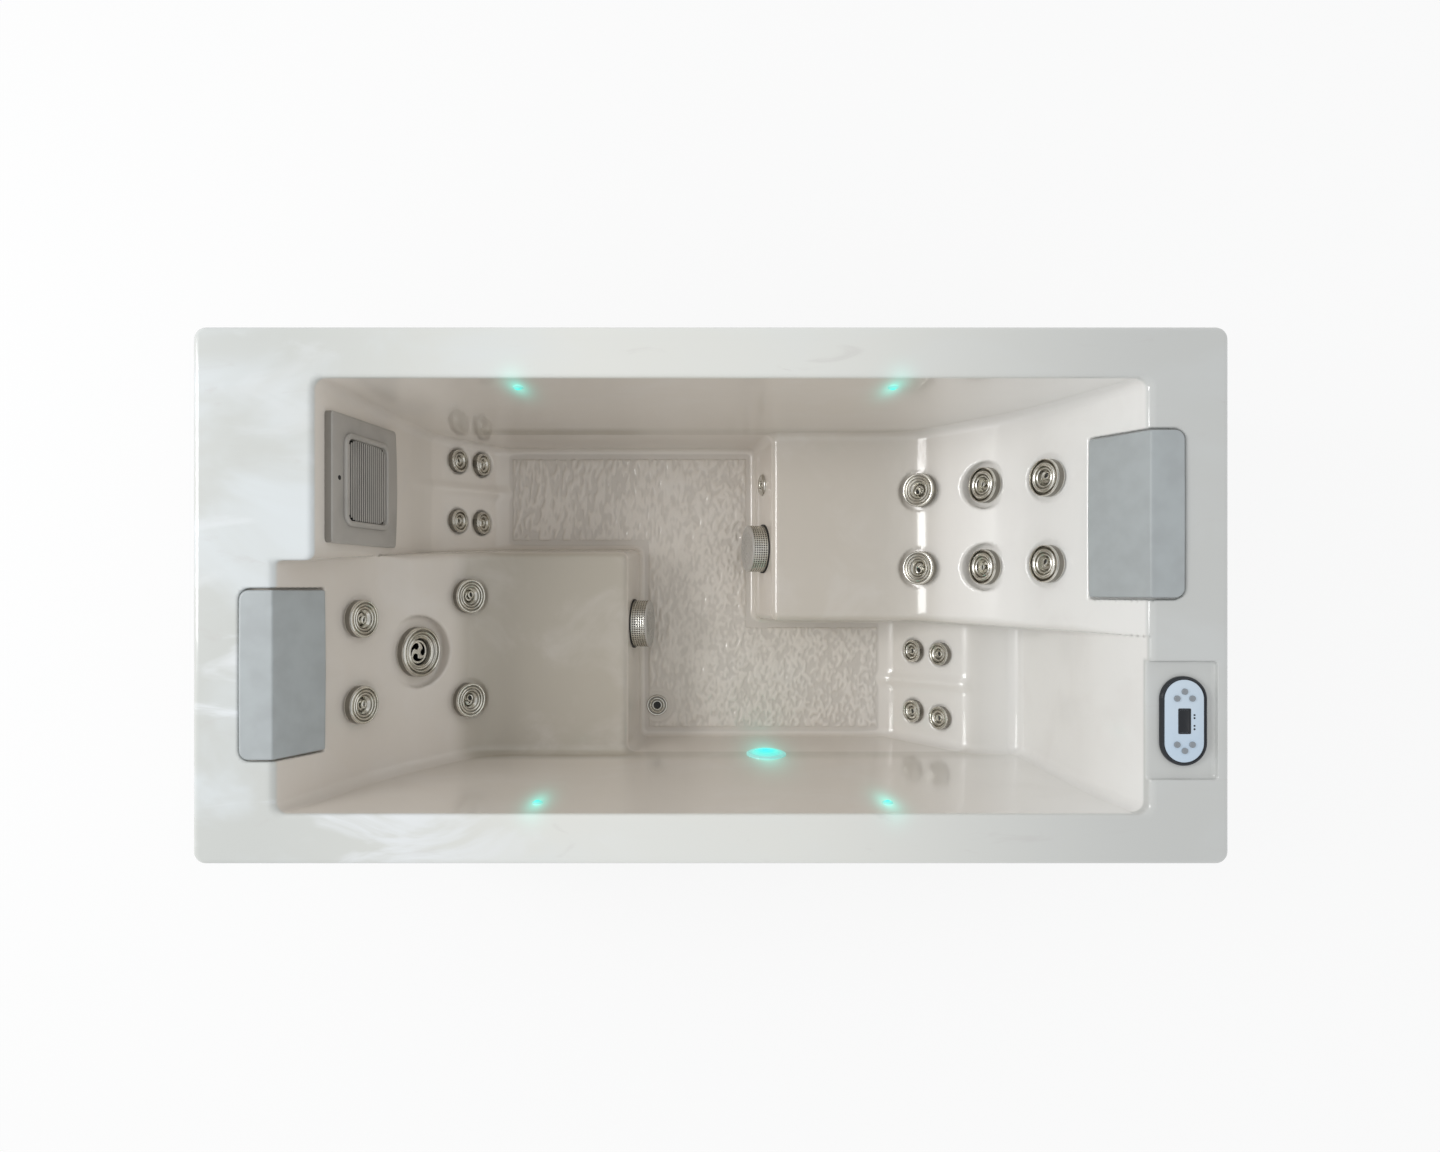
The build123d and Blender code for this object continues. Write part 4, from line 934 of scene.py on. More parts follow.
acrylic = acrylic_finish()
jet_metal = metal_finish("jet_metal", shade(226, 224, 216), 0.22)
# A darker copy of the jet metal, used as painted shade in grooves and on sides.
painted_shade_metal = metal_finish("painted_shade_metal", shade(142, 138, 130), 0.3)
chrome = metal_finish("chrome", shade(222, 220, 212), 0.1)
steel = metal_finish("steel", shade(190, 192, 192), 0.3)
black_fitting = moulded_finish("black_fitting", shade(30, 31, 31), 0.45)
gasket = moulded_finish("gasket", shade(18, 18, 18), 0.6)
grey_plastic = moulded_finish("grey_plastic", shade(180, 176, 170), 0.34)
# A darker copy of the grey plastic, used as painted shade.
painted_shade_plastic = moulded_finish("painted_shade_plastic", shade(136, 131, 123), 0.4)
white_pipe = moulded_finish("white_pipe", shade(224, 223, 216), 0.3)
pan_plastic = moulded_finish("pan", shade(40, 41, 43), 0.5, 300.0, 0.0003)
pillow_foam = foam_finish()
board = board_finish()
frame_paint = painted_finish("frame_paint", shade(150, 153, 155))
motor_paint = painted_finish("motor", shade(46, 54, 66), 0.4)
paper = paper_finish()
hose = hose_finish()
main_lens = lamp_finish("main_lens", [main_lamp_place], 0.055)
small_lens = lamp_finish("small_lens", small_lamp_places, 0.013)

# The shell


def near(points, spot, out, across, up):
    """Which points are in a box round a place."""
    local = points - spot.origin
    beside = (np.abs(local @ spot.across) < across) & (np.abs(local @ spot.up) < up)
    return beside & (np.abs(local @ spot.out) < out)


def within(points, spot, out, radius):
    """Which points are in a short cylinder round a place."""
    local = points - spot.origin
    high_up = local @ spot.out
    away = np.sqrt(np.maximum((local**2).sum(1) - high_up**2, 0))
    return (np.abs(high_up) < out) & (away < radius)


def outside(points):
    """Which points are on the rim's outer edge or the skirt below it."""
    return (np.abs(points[:, 0]) > HALF_LENGTH - 50) | (np.abs(points[:, 1]) > HALF_WIDTH - 40)


def shell_mesh():
    """The moulding, open at every fitting, with its underside one wall thickness away."""
    low, high = (-1068, -560, 92), (1068, 560, 778)
    points, faces = surface_net(shell_field, low, high, 6.0, slabs=30)
    points = settle(shell_field, points)
    gone = outside(points) & (points[:, 2] < SKIRT_Z - 3)
    holes = [(spot, size.barrel) for size, spot in jets]
    holes += [(spot, 40.3) for spot in suction_places + [main_lamp_place]]
    holes += [(return_place, 18.3), (drain_place, 20.3)]
    for spot, radius in holes:
        gone |= within(points, spot, 30, radius - 2)
    gone |= near(points, filter_place, 30, 95, 75)
    gone |= near(points, panel_place, 20, 36, 67)
    points, faces = without(points, faces, gone)
    points, faces = thinned(points, faces, 0.24)

    rim = rim_edges(faces)
    border = np.zeros(len(points), bool)
    border[rim[:, 0]] = True
    settled = settle(shell_field, points, 2)
    points = np.where(border[:, None], points, settled)
    skirt = border & outside(points) & (points[:, 2] < SKIRT_Z + 12)
    points[skirt, 2] = SKIRT_Z
    out = facing(shell_field, points)
    under = points - WALL * out
    under[skirt, 2] = SKIRT_Z
    count = len(points)
    sides = np.stack([rim[:, 1], rim[:, 0], rim[:, 0] + count, rim[:, 1] + count], 1)
    every_face = faces.tolist() + (faces[:, ::-1] + count).tolist() + sides.tolist()
    return np.concatenate([points, under]), every_face, np.concatenate([out, -out])


def smooth_noise(seed, shape, cells):
    """Soft random hills between 0 and 1 on a grid, about cells hills each way."""
    random = np.random.default_rng(seed)
    coarse = random.random((int(cells[0]) + 3, int(cells[1]) + 3))
    made = coarse
    for axis in (0, 1):
        t = np.linspace(1, made.shape[axis] - 2.001, shape[axis])
        base = np.floor(t).astype(int)
        f = t - base
        weights = [(1 - f) ** 3 / 6, (3 * f**3 - 6 * f**2 + 4) / 6]
        weights += [(-3 * f**3 + 3 * f**2 + 3 * f + 1) / 6, f**3 / 6]
        last = made.shape[axis] - 1
        rows = [np.take(made, np.clip(base + k - 1, 0, last), axis) for k in range(4)]
        lift = (slice(None), None) if axis == 0 else (None, slice(None))
        made = sum(w[lift] * r for w, r in zip(weights, rows))
    return made


# The three oblongs that make up the footwell's floor: (west, east, south, north)
FLOOR_AREAS = [(-556, 135, 125, 398), (-178, 135, -392, 398), (-178, 499, -392, -69)]
PAD_INSET = 19
PAD_STEPS = (2.4, 4.2)
PAD_BORDER = 3
HILL_HEIGHT = 2.4
FLOOR_Z = HEIGHT - FLOOR_D


def pad_height(x, y, away):
    """The height of the wavy ridges, fading out towards the pad's edge and the drain."""
    shape = x.shape
    span_x, span_y = np.ptp(x), np.ptp(y)
    bend = smooth_noise(11, shape, (span_x / 46, span_y / 60))
    fine = smooth_noise(12, shape, (span_x / 4.2, span_y / 12))
    grit = smooth_noise(13, shape, (span_x / 4.6, span_y / 7))
    share = np.clip((x + 200) / 300, 0, 1)
    wave = fine * (1 - share) + grit * share + 0.2 * (bend - 0.5)
    hills = HILL_HEIGHT * np.clip(0.5 + 3.0 * (wave - 0.5), 0, 1)
    drain = np.hypot(x - drain_place.origin[0], y - drain_place.origin[1])
    fade = np.clip(-away / 9, 0, 1) * np.clip((drain - 47) / 9, 0, 1)
    ring = 0.9 * np.exp(-(((drain - 43) / 3) ** 2))
    height = FLOOR_Z + 0.3 + fade * hills + ring
    border = np.clip(-away / PAD_BORDER, 0, 1)
    return height * border + (FLOOR_Z - 1.5) * (1 - border)


def floor_pad():
    """The textured footwell floor: wavy ridges on a thin plate that is let into the floor."""
    xs = np.arange(-545, 485, PAD_STEPS[0])
    ys = np.arange(-385, 392, PAD_STEPS[1])
    x, y = np.meshgrid(xs, ys, indexing="ij")
    away = np.full(x.shape, np.inf)
    for west, east, south, north in FLOOR_AREAS:
        beyond_x = np.maximum(west + PAD_INSET - x, x - (east - PAD_INSET))
        beyond_y = np.maximum(south + PAD_INSET - y, y - (north - PAD_INSET))
        away = np.minimum(away, np.maximum(beyond_x, beyond_y))
    height = pad_height(x, y, away)
    solid = away < 0
    cell = solid[:-1, :-1] & solid[1:, :-1] & solid[:-1, 1:] & solid[1:, 1:]
    number = np.arange(x.size).reshape(x.shape)
    corners = (number[:-1, :-1], number[1:, :-1], number[1:, 1:], number[:-1, 1:])
    quads = np.stack([corner[cell] for corner in corners], 1)
    points, faces = compact(np.stack([x.ravel(), y.ravel(), height.ravel()], 1), quads)

    rim = rim_edges(faces)
    top = len(points)
    edge = np.unique(rim)
    points[edge, 2] = FLOOR_Z - 1.5
    lower = np.full(top, -1)
    lower[edge] = top + np.arange(len(edge))
    base = points[edge].copy()
    base[:, 2] = FLOOR_Z - 3.5
    following = dict(rim.tolist())
    start = int(rim[0, 0])
    loop = [start]
    while following[loop[-1]] != start:
        loop.append(following[loop[-1]])
    sides = [[b, a, lower[a], lower[b]] for a, b in rim.tolist()]
    bottom = [int(lower[n]) for n in loop][::-1]
    return np.concatenate([points, base]), faces.tolist() + sides + [bottom]


def averaged_normals(points, faces):
    """Each point's outward direction, from the faces round it."""
    normals = np.zeros((len(points), 3))
    triangles = np.array([face[:3] for face in faces])
    a, b, c = (points[triangles[:, n]] for n in range(3))
    for corner in range(3):
        np.add.at(normals, triangles[:, corner], np.cross(b - a, c - a))
    return normals / np.maximum(np.linalg.norm(normals, axis=1), 1e-6)[:, None]


points, faces, normals = shell_mesh()
pad_points, pad_faces = floor_pad()
count = len(points)
pad_normals = averaged_normals(pad_points, pad_faces[:-1])
tub = piece(
    "moulded_shell",
    np.concatenate([points, pad_points]),
    faces + [[n + count for n in face] for face in pad_faces],
    acrylic,
    "tub",
    normals=np.concatenate([normals, pad_normals]),
)
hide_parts("shell")

# The pillows


PIN = [(0, -22), (4, -22), (5, -20), (5, -4), (4, -3), (4, -1), (6, 0.5), (0, 0.5)]
PIN_SHIFT = 110


def pillow_piece(name, pillow):
    """A headrest with the two pins that hold it."""
    x_low, x_high = sorted((pillow.end - 10 * pillow.side, pillow.end + 150 * pillow.side))
    low = (x_low, pillow.low - 8, HEIGHT - pillow.foot - 8)
    high = (x_high, pillow.high + 8, HEIGHT + 14)
    field = pillow_field(pillow)
    points, faces = surface_net(field, low, high, 3.5, slabs=2)
    points = settle(field, points, 4)
    made = piece(name, points, faces, pillow_foam, name, normals=facing(field, points))
    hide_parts(name)
    pins = Build()
    x = (pillow.wall[0][0] + pillow.end) / 2
    y = (pillow.low + pillow.high) / 2
    for shift in (-PIN_SHIFT, PIN_SHIFT):
        spot = place((x, y + shift, HEIGHT - PILLOW_SINK), (0, 0, 1), (1, 0, 0))
        pins.turned(spot, softened(PIN, 0.5), 32)
    made_pins = pins.finish(name + "_pins", white_pipe, name)


pillow_piece("left_pillow", LEFT_PILLOW)
pillow_piece("right_pillow", RIGHT_PILLOW)

# Jets

# Profiles as (radius, height). A third number is the material of the band that starts there; the darker
# metal among them is painted shade in the grooves and down the sides.
MANY_RINGS = [
    (0, 3.6), (38.6, 3.6), (38.6, 0.5), (42.3, 0.5), (42.5, 3, 2), (42.5, 16.5),
    (42.3, 20.4), (41.0, 22.4), (38.9, 22.9), (37.2, 22.2), (36.4, 18.8, 2),
    (34.4, 18.6), (33.6, 21.4), (32.0, 22.3), (30.0, 21.7), (29.2, 18.0, 2),
    (27.4, 17.8), (26.6, 20.4), (25.0, 21.1), (23.2, 20.4), (22.4, 17.0, 2),
    (20.8, 16.4), (20.0, 17.6), (18.2, 16.0), (15.6, 9.6, 2),
    (12.4, 6.6), (8.5, 5.4), (0, 5.0),
]
THICK_RING = [
    (0, 3.6), (38.6, 3.6), (38.6, 0.5), (42.3, 0.5), (42.5, 3, 2), (42.5, 17.0),
    (42.2, 20.8), (41.2, 22.6), (39.6, 22.6), (38.8, 20.4, 2), (37.9, 15.4, 2),
    (36.0, 14.8), (35.0, 18.4), (33.4, 21.6), (31.0, 22.9), (28.0, 22.8), (26.0, 21.4),
    (25.2, 16.6, 2), (23.4, 15.8), (22.6, 18.8), (20.8, 19.8), (19.0, 18.8), (17.8, 12.6),
    (15.4, 8.2, 2), (12.0, 6.0), (8.0, 5.2), (0, 5.0),
]
LARGE_RINGS = [
    (30, -24), (38.4, -24), (38.4, 3.6), (55.0, 3.6), (55.0, 0.5), (59.7, 0.5), (60, 3, 1),
    (60, 18), (59.6, 21.8), (58.0, 24.3), (55.6, 25), (53.6, 24.0), (52.8, 19.8, 1),
    (50.0, 19.4), (49.2, 22.8), (47.6, 24.0), (45.4, 23.4), (44.2, 19.6, 1), (41.6, 17.4),
    (38.6, 17.0), (37.4, 18.8), (35.6, 19.6), (33.6, 18.8), (32.2, 15.4, 1),
    (31.2, 12.0, 1), (30, 8, 1),
]
SMALL_RINGS = [
    (0, 3.4), (26.8, 3.4), (26.8, 0.5), (29.6, 0.5), (30, 2, 2), (30, 14.4), (29.7, 17.0),
    (28.4, 19.2), (26.2, 19.7), (24.0, 18.8), (23.2, 14.6, 2), (21.2, 14.2), (20.4, 17.4),
    (18.6, 18.8), (16.2, 18.6), (14.4, 17.0), (13.6, 12.2, 2), (11.4, 10.8), (10.4, 13.4),
    (8.8, 14.8), (6.6, 14.6), (5.0, 12.4), (4.2, 7.0, 1), (0, 6.8),
]
THICK_RINGED = (5, 6, 7, 8)
TUBE = [
    (5.0, 0.5), (8.4, -2.0), (9.4, 4.0), (9.1, 7.6),
    (8.0, 8.8), (6.4, 8.3), (5.3, 6.4), (5.0, 3.4),
]


def nozzle(build, spot, turn, reach):
    """The off-centre outlet in a jet's bowl: a short tilted tube, and the swirl vane round it."""
    lean = spot.out + 0.28 * (cos(turn) * spot.across + sin(turn) * spot.up)
    middle = at(spot, reach * cos(turn), reach * sin(turn), 6.5)
    tilted = place(middle, lean, np.cross(spot.up, lean))
    build.turned(tilted, TUBE, 40)
    build.turned(tilted, [(0, 0.6), (5.6, 0.6), (5.6, 3.4), (0, 3.4)], 24, slot=1)
    vane = []
    for t in np.linspace(0, 1, 22):
        angle = turn + pi * (0.62 + 1.15 * t)
        radius = 11.8 - 4.2 * t
        width = 0.5 + 1.5 * sin(pi * min(1.0, t * 1.08)) ** 0.7
        centre = np.array([radius * cos(angle), radius * sin(angle)])
        side = np.array([cos(angle), sin(angle)]) * width
        low, high = centre - side, centre + side
        crest = 12.5 - 3.0 * t
        corners = [(*low, 5.2), (*high, 5.2), (*high, crest), (*low, crest)]
        vane.append([at(spot, *corner) for corner in corners])
    build.skin(vane, caps=True)


ring_metals = [jet_metal, black_fitting, painted_shade_metal]
for number, spot in enumerate(medium_places, start=1):
    face = Build()
    face.turned(spot, THICK_RING if number in THICK_RINGED else MANY_RINGS, 112)
    first_turn = 205 if MEDIUM_JETS[number - 1][1] > 0 else 160
    nozzle(face, spot, radians(first_turn + 37 * number), 3.4)
    made = face.finish(f"jet_ring_{number}", ring_metals, f"jet_face_{number}", 40)
    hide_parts(f"jet_face_{number}")


def rotor_field(across, up, out):
    """A three-lobed disc with comma-shaped openings."""
    radius = np.hypot(across, up)
    angle = np.arctan2(up, across)
    disc = open_up(28.6 - radius, open_up(out - 3.6, 11 - out - 0.05 * radius, 1.2), 1.2)
    for turn in (0.4, 0.4 + 2 * pi / 3, 0.4 + 4 * pi / 3):
        ball = np.hypot(across - 14.6 * cos(turn), up - 14.6 * sin(turn)) - 7.4
        ahead = np.mod(angle - turn, 2 * pi)
        share = np.clip(ahead / 1.55, 0, 1)
        tail = np.abs(radius - (16.4 + 6.4 * share)) - (5.4 * (1 - share) + 0.3)
        tail = np.where(ahead < 1.55, tail, 9.0)
        disc = open_up(disc, np.minimum(ball, tail), 1.4)
    return disc


face = Build()
face.turned(large_place, LARGE_RINGS, 144)
made = face.finish("large_jet_ring", [jet_metal, painted_shade_metal], "large_jet_face", 40)
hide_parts("large_jet_face")

net_points, net_faces = surface_net(rotor_field, (-31, -31, 1), (31, 31, 14), 1.0)
net_points = settle(rotor_field, net_points, 3)
rotor_points = at(large_place, *net_points.T)
axes = np.stack([large_place.across, large_place.up, large_place.out])
rotor_out = facing(rotor_field, net_points) @ axes
made = piece(
    "large_jet_rotor", rotor_points, net_faces, jet_metal, "large_jet_spinner", normals=rotor_out
)
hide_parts("large_jet_spinner")


def knurl(angles, radius, height):
    """Grip notches round the skirt of a small jet's face."""
    if radius > SMALL.face - 0.5 and 2 < height < 16:
        return 1.1 * np.clip(1.6 * np.sin(24 * angles), 0, 1)
    return 0.0


face = Build()
for spot in small_places:
    face.turned(spot, SMALL_RINGS, 144, wave=knurl)
    face.turned(spot, [(0, 6.9), (4.6, 6.9), (4.6, 8.6), (0, 8.6)], 24, slot=1)
made = face.finish("small_jet_rings", ring_metals, "tub", 40)
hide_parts("small_jet_faces")

# Filter: the surround, and the snap-in grille


def loft(build, spot, outlines, slot=0, caps=True, loop=False):
    """A body from outlines at rising heights: each is (points, height)."""
    rings = [at(spot, ring[:, 0], ring[:, 1], height) for ring, height in outlines]
    build.skin(rings, caps=caps, loop=loop, slot=slot)


def stitched(ring, extra):
    """The same outline with more points along its straight sides."""
    made = []
    for start, end in zip(ring, np.roll(ring, -1, axis=0)):
        steps = extra if np.linalg.norm(end - start) > 40 else 1
        made.extend(start + (end - start) * t for t in np.arange(steps) / steps)
    return np.array(made)


SURROUND_WIDTH = 275
SURROUND_HEIGHT = 262
SURROUND_RAISED = 9
MOUTH_RAISED = 5


def plate_ring(shrink):
    """The surround's outline, drawn in by shrink, with a bowed lower edge."""
    width, height = SURROUND_WIDTH - 2 * shrink, SURROUND_HEIGHT - 2 * shrink
    ring = stitched(rounded_oblong(width, height, max(9 - shrink, 2), 6), 6)
    low_side = ring[:, 1] < -60
    ring[low_side, 1] -= 6 * np.clip(1 - (ring[low_side, 0] / 130) ** 2, 0, 1)
    return ring + np.array([0, SURROUND_RAISED])


surround = Build()
mouth = stitched(rounded_oblong(177, 148, 16, 6), 6) + np.array([0, MOUTH_RAISED])
surround_rings = [
    (mouth, 0.2), (plate_ring(0), 0.2), (plate_ring(0), 13.0), (plate_ring(0.8), 15.0),
    (plate_ring(2.6), 16.2), (plate_ring(8), 16.6), (mouth * 1.13, 16.4), (mouth * 1.11, 15.4),
    (mouth, 15.2),
]
loft(surround, filter_place, surround_rings, caps=False, loop=True)
made = surround.finish("filter_surround", [grey_plastic, painted_shade_plastic], "tub")
# Faces that look up the wall take the darker plastic as painted shade.
for polygon in made.data.polygons:
    if np.dot(polygon.normal, filter_place.up) > 0.6:
        polygon.material_index = 1
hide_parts("filter_faceplate")

bolt = Build()
bolt_place = place(at(filter_place, 0, 112, 16.0), filter_place.out)
bolt.turned(bolt_place, [(0, 0), (5.2, 0), (5.2, 0.9), (4.0, 1.3), (0, 0.9)], 24)
made = bolt.finish("filter_catch", black_fitting, "tub")

SLATS = 18
SLAT_PITCH = 8.4
SLAT_HALF = 86.5
SLAT_SECTION = [(-2.3, 8.0), (2.3, 8.0), (2.3, 17.4), (1.6, 18.6), (-1.6, 18.9), (-2.3, 18.0)]
GRILLE_RAISED = 6
# The grille's raised ring as (outset, height)
GRILLE_RING = [
    (0, 16.8), (0, 19.6), (-0.9, 21.6), (-2.6, 22.8), (-6, 23.2), (-10, 22.6),
    (-12, 20.6), (-12.6, 17.0), (-12.6, 6.0), (-8, 6.0), (-8, 16.8),
]

grille = Build()
ring_rings = []
for outset, height in GRILLE_RING:
    ring = rounded_oblong(200 + 2 * outset, 180 + 2 * outset, 27 + outset, 8)
    ring_rings.append((ring + np.array([0, GRILLE_RAISED]), height))
loft(grille, filter_place, ring_rings, caps=False, loop=True)
for n in range(SLATS):
    up = (n - (SLATS - 1) / 2) * SLAT_PITCH
    half = SLAT_HALF - 0.28 * max(abs(up) - 50, 0) ** 1.2
    section = [(up + GRILLE_RAISED + u, height) for u, height in SLAT_SECTION]
    first = len(grille.slots)
    bar = [[at(filter_place, across, *spot) for spot in section] for across in (-half, half)]
    grille.skin(bar, caps=True)
    # The two sides of each slat take the black finish as painted shade between the slats.
    for shade_side in (1, 5):
        grille.slots[first + shade_side] = 1
made = grille.finish("filter_grille", [grey_plastic, black_fitting], "filter_door")
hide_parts("filter_door")

# Suction covers: a knurled, perforated drum with a plain end

DRUM_R = 61.0
DRUM_SKIN = 1.8
DRUM_LOW, DRUM_HIGH = 5.0, 41.0
HOLES_AROUND = 62
HOLE_ROWS = 6
HOLE_REACH = 0.78
HOLE_LIP = 0.35
DRUM_COLLAR = [
    (DRUM_R - 2.6, 3.0), (DRUM_R + 0.6, 3.0), (DRUM_R + 0.6, 5.6), (DRUM_R - 2.6, 5.6),
]
DRUM_CROWN = [
    (0, 40.6), (DRUM_R - 2.6, 40.6), (DRUM_R + 0.3, 40.4), (DRUM_R + 0.4, 42.4),
    (DRUM_R - 1.0, 44.6), (DRUM_R - 4, 45.0), (DRUM_R - 6, 44.0), (DRUM_R - 9, 43.6), (0, 43.9),
]


def perforated_wall(build, spot):
    """A drum's round wall with diamond holes, worked in half steps from hole to hole."""
    points, faces, index = [], [], {}

    def corner(i, j, radius):
        """The number of a point, which neighbouring squares share."""
        key = (i % (2 * HOLES_AROUND), j, radius)
        if key not in index:
            index[key] = len(points)
            angle = key[0] * pi / HOLES_AROUND
            height = DRUM_LOW + (DRUM_HIGH - DRUM_LOW) * j / (2 * HOLE_ROWS)
            points.append(at(spot, radius * cos(angle), radius * sin(angle), height))
        return index[key]

    inner_r = DRUM_R - DRUM_SKIN
    for i in range(0, 2 * HOLES_AROUND, 2):
        for j in range(0, 2 * HOLE_ROWS, 2):
            x, y = i + 1, j + 1
            square = [(i, j), (i + 2, j), (i + 2, j + 2), (i, j + 2)]
            reach = HOLE_REACH
            hole = [(x - reach, y), (x, y - reach), (x + reach, y), (x, y + reach)]
            outer, inner = [[corner(*step, r) for step in square] for r in (DRUM_R, inner_r)]
            lip, bore = [[corner(*step, r) for step in hole] for r in (DRUM_R + HOLE_LIP, inner_r)]
            for n in range(4):
                m = (n + 1) % 4
                faces += [[outer[n], outer[m], lip[m]], [outer[n], lip[m], lip[n]]]
                faces += [[bore[m], inner[m], inner[n]], [bore[n], bore[m], inner[n]]]
                faces.append([lip[n], lip[m], bore[m], bore[n]])
    for i in range(0, 2 * HOLES_AROUND, 2):
        for a, b, j in ((i, i + 2, 0), (i + 2, i, 2 * HOLE_ROWS)):
            ends = [(a, DRUM_R), (a, inner_r), (b, inner_r), (b, DRUM_R)]
            faces.append([corner(step, j, radius) for step, radius in ends])
    build.add(points, faces)


def drum(build, spot):
    """One suction cover: its perforated wall, its collar, and its end with studs."""
    perforated_wall(build, spot)
    build.turned(spot, DRUM_COLLAR, 96)
    build.turned(spot, DRUM_CROWN, 96, slot=1)
    for ring, count in ((16, 8), (28, 14), (40, 20)):
        for n in range(count):
            angle = 2 * pi * n / count + ring
            stud = place(at(spot, ring * cos(angle), ring * sin(angle), 43.6), spot.out)
            build.turned(stud, [(0, -0.2), (3.4, -0.2), (3.0, 1.0), (0, 1.2)], 10, slot=1)


drums = Build()
for spot in suction_places:
    drum(drums, spot)
made = drums.finish("suction_drums", [jet_metal, grey_plastic], "tub", 30)
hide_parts("suction_covers")

# Return fitting and floor drain

RETURN_RING = [
    (11, -20), (17.5, -20), (17.5, 0.3), (29, 0.3),
    (28.6, 3.0), (22.5, 7.6), (16.5, 8.2), (12.2, 5.0),
]
DRAIN_RING = [
    (8.4, -20), (19.8, -20), (19.8, 0.4), (29, 0.4), (28.8, 2.6), (27.0, 4.8), (24.8, 4.6),
    (23.8, 2.4, 2), (21.2, 2.4), (20.4, 5.8), (18.6, 6.4), (16.8, 5.0), (15.8, 2.4, 2),
    (13.6, 2.4), (12.8, 4.8), (11.0, 5.0), (9.4, 3.4), (8.4, 0.0, 2),
]

fitting = Build()
fitting.turned(return_place, softened(RETURN_RING, 1.2, closed=True), 72)
fitting.turned(return_place, [(0, -6), (12, -6), (12, -4), (0, -4)], 32, slot=1)
made = fitting.finish("return_ring", [jet_metal, black_fitting], "tub")
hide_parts("return_fitting")

drain = Build()
drain.turned(drain_place, DRAIN_RING, 72)
drain.turned(drain_place, [(0, 0.8), (9.6, 0.8), (9.6, 1.8), (0, 1.8)], 32, slot=1)
made = drain.finish("drain_ring", [chrome, black_fitting, painted_shade_metal], "tub", 40)
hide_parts("floor_drain")

# Control panel


def panel_finish():
    """Pale printed membrane under a clear skin."""
    finish = Finish("panel_face", coat_weight=0.4, coat_roughness=0.08)
    spots = finish.spots()
    y = finish.parts(spots)[1]
    sweep = (y + 0.255).rise(-0.085, 0.085)
    haze = finish.noise(spots, 60.0, 2.0)
    colour = finish.mix(sweep, shade(198, 218, 236), shade(206, 222, 236))
    return finish.set(
        base_color=finish.mix(haze * 0.25, colour, shade(232, 238, 243)),
        roughness=0.3 + 0.06 * haze,
    )


panel_face = panel_finish()
panel_black = moulded_finish("panel_black", shade(34, 38, 44), 0.12, 200.0, 0.00001)
screen_finish = moulded_finish("screen", shade(28, 32, 38), 0.06, 200.0, 0.00001)
button_finish = moulded_finish("button", shade(150, 156, 162), 0.3, 500.0, 0.00002)


def oval(width, height, steps=24):
    return rounded_oblong(width, height, width / 2 - 0.01, steps)


control = Build()
bezel = [
    (oval(70, 158), 0.0), (oval(94, 182), 0.0), (oval(94, 182), 5.6), (oval(93, 181), 7.8),
    (oval(90.5, 178.5), 9.2), (oval(87, 175), 9.4), (oval(85, 173), 8.6), (oval(84.4, 172.4), 7.4),
    (oval(70, 158), 7.4),
]
loft(control, panel_place, bezel, caps=False, loop=True)
face_plate = [
    (oval(80, 168), 0.4), (oval(80, 168), 7.0), (oval(79.4, 167.4), 8.2),
    (oval(76, 164), 8.9), (oval(40, 128), 9.2),
]
loft(control, panel_place, face_plate, slot=1)
screen_frame = [
    (21, 47, 9.1), (26, 52, 9.1), (26, 52, 9.5), (25, 51, 9.8), (20.4, 46, 9.8), (20, 45.6, 9.1),
]
frame_rings = [(rounded_oblong(w, h, 2.5, 4), height) for w, h, height in screen_frame]
loft(control, panel_place, frame_rings, caps=False, loop=True)
for y_shift in (12.5, 6.3, -9.3, -16.2):
    dot = place(at(panel_place, 20, y_shift, 9.0), panel_place.out, (1, 0, 0))
    control.turned(dot, [(0, 0), (2.1, 0), (2.0, 0.5), (1.5, 0.8), (0, 0.9)], 20)
case = rounded_oblong(69, 131, 4, 3)
loft(control, panel_place, [(case, -33.5), (case, 0.2)])
made = control.finish("control_panel", [panel_black, panel_face], "tub", 30)
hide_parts("topside_housing")

display = Build()
glass = rounded_oblong(20, 45.4, 2, 4)
loft(display, panel_place, [(glass, 8.4), (glass, 9.4), (rounded_oblong(19, 44.4, 1.6, 4), 9.7)])
made = display.finish("display_window", screen_finish, "tub")
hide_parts("topside_screen")

BUTTON_PLACES = [(0, 60), (-15.5, 46), (15.5, 46), (-15.5, -47.5), (15.5, -47.5), (0, -60)]
KEY = [(0, 3.8), (6.3, 3.8), (6.3, 11.2), (5.4, 12.2), (3.6, 12.2), (2.6, 11.8), (0, 11.6)]
for number, (x_shift, y_shift) in enumerate(BUTTON_PLACES, start=1):
    spot = place(at(panel_place, x_shift, y_shift, 0), panel_place.out, (1, 0, 0))
    key = Build()
    key.turned(spot, softened(KEY, 0.7), 48)
    made = key.finish(f"key_{number}", button_finish, f"button_{number}", 50)
    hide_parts(f"button_{number}")

# Finishes of the CAD pieces that stay as they are

CAD_FINISHES = {
    black_fitting: [
        "jet_bodies", "jet_nuts", "suction_bodies", "pillow_sockets", "light_bodies",
        "control_box", "drain_handle", "cable_gland", "filter_canister", "weir_flap",
    ],
    gasket: ["suction_gaskets"],
    white_pipe: ["suction_pipe", "pressure_manifold", "drain_valve", "pump_volute", "pump_impeller"],
    hose: ["jet_hoses"],
    paper: ["filter_cartridge"],
    steel: ["heater", "panel_screws"],
    motor_paint: ["pump_motor"],
    frame_paint: ["frame_posts", "frame_rails"],
    pan_plastic: ["base_pan", "floor_supports"],
    board: ["front_panel", "back_panel", "left_panel", "right_panel"],
    main_lens: ["main_light_lens"],
    small_lens: ["small_light_lenses"],
}
for finish, names in CAD_FINISHES.items():
    for name in names:
        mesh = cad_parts[name].data
        mesh.materials.clear()
        mesh.materials.append(finish)

# Floor, light and camera


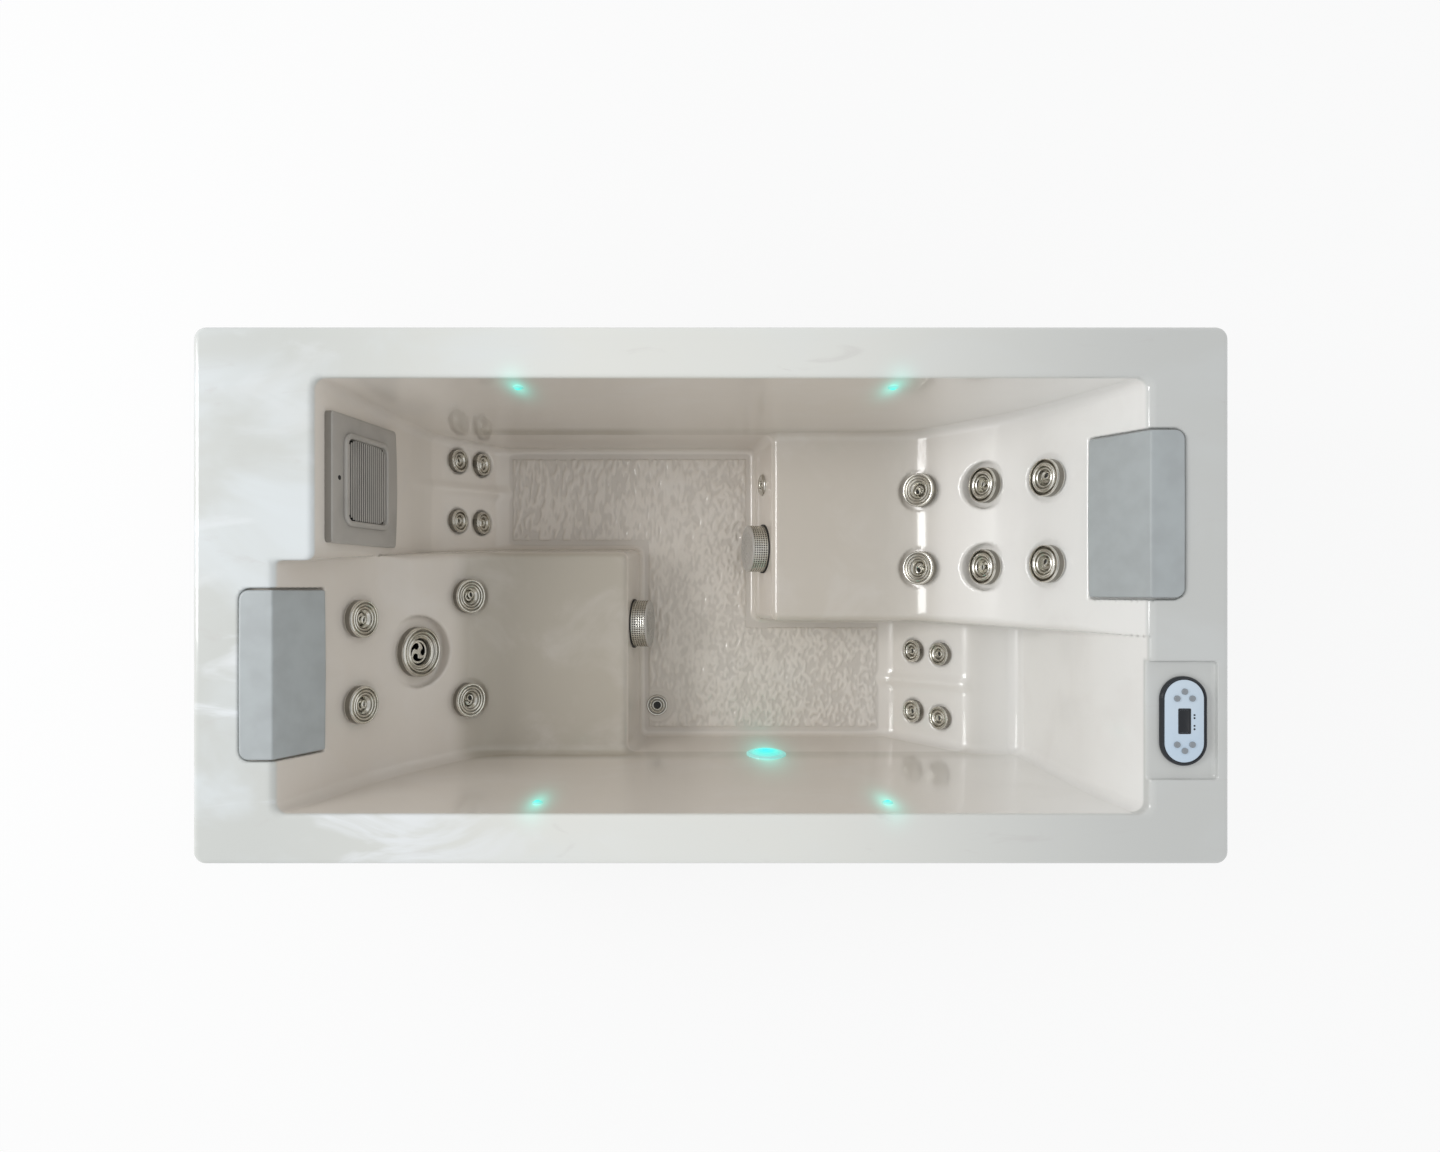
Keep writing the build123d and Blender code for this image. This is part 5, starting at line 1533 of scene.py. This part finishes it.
def stage_floor():
    """A white floor that keeps the tub's shadow."""
    mesh = bpy.data.meshes.new("floor")
    reach = 30.0
    corners = [(-reach, -reach, 0), (reach, -reach, 0), (reach, reach, 0), (-reach, reach, 0)]
    mesh.from_pydata(corners, [], [(0, 1, 2, 3)])
    made = bpy.data.objects.new("floor", mesh)
    bpy.context.scene.collection.objects.link(made)
    finish = Finish("floor", roughness=0.9)
    finish.set(base_color=shade(236, 236, 236))
    path = finish.node("LightPath")
    seen = path.beside("Is Camera Ray") + path.beside("Is Glossy Ray")
    share = (seen + path.beside("Is Transmission Ray")).clamped() * 0.86
    white = finish.node("Emission", sockets={"Color": (1, 1, 1, 1), "Strength": 1.0})
    skin = Wire(finish, finish.skin.outputs[0])
    both = finish.node("MixShader", sockets={0: share, 1: skin, 2: white})
    finish.plug(finish.output.inputs[0], both)
    mesh.materials.append(finish.material)


def room_light():
    """An even pale surround, white where it is seen and softer as light."""
    world = bpy.data.worlds.new("room")
    bpy.context.scene.world = world
    room = Nodes(world)
    path = room.node("LightPath")
    seen = path.beside("Is Camera Ray") + path.beside("Is Transmission Ray")
    share = (seen + path.beside("Is Glossy Ray")).clamped()
    soft = room.node("Background", sockets={"Color": (0.97, 0.985, 1.0, 1), "Strength": 0.75})
    overhead = room.parts(room.node("TexCoord", out="Generated"))[2].rise(0.35, 1.0)
    white = room.node("Background", sockets={"Color": (1, 1, 1, 1), "Strength": 1 - 0.38 * overhead})
    both = room.node("MixShader", sockets={0: share, 1: soft, 2: white})
    room.node("OutputWorld", sockets={0: both})


def lamp(name, position, target, size, power):
    """A white oblong light that faces its target."""
    data = bpy.data.lights.new(name, "AREA")
    data.shape = "RECTANGLE"
    data.size, data.size_y = size
    data.energy = power
    made = bpy.data.objects.new(name, data)
    bpy.context.scene.collection.objects.link(made)
    from_to = np.asarray(target, float) - np.asarray(position, float)
    made.location = position
    made.rotation_euler = Vector(from_to).to_track_quat("-Z", "Y").to_euler()


def camera():
    """Straight above the tub, 1.75 m over the rim."""
    data = bpy.data.cameras.new("camera")
    data.sensor_width = 36.0
    data.lens = 21.63
    data.shift_x = 0.0208
    data.shift_y = 0.009
    made = bpy.data.objects.new("camera", data)
    made.location = (-0.042, 0.013, 2.51)
    bpy.context.scene.collection.objects.link(made)
    bpy.context.scene.camera = made


stage_floor()
room_light()
lamp("window", (-3.4, 0.5, 3.0), (0.1, 0, 0.4), (1.5, 1.2), 60)
camera()
bpy.context.scene.view_settings.view_transform = "Standard"
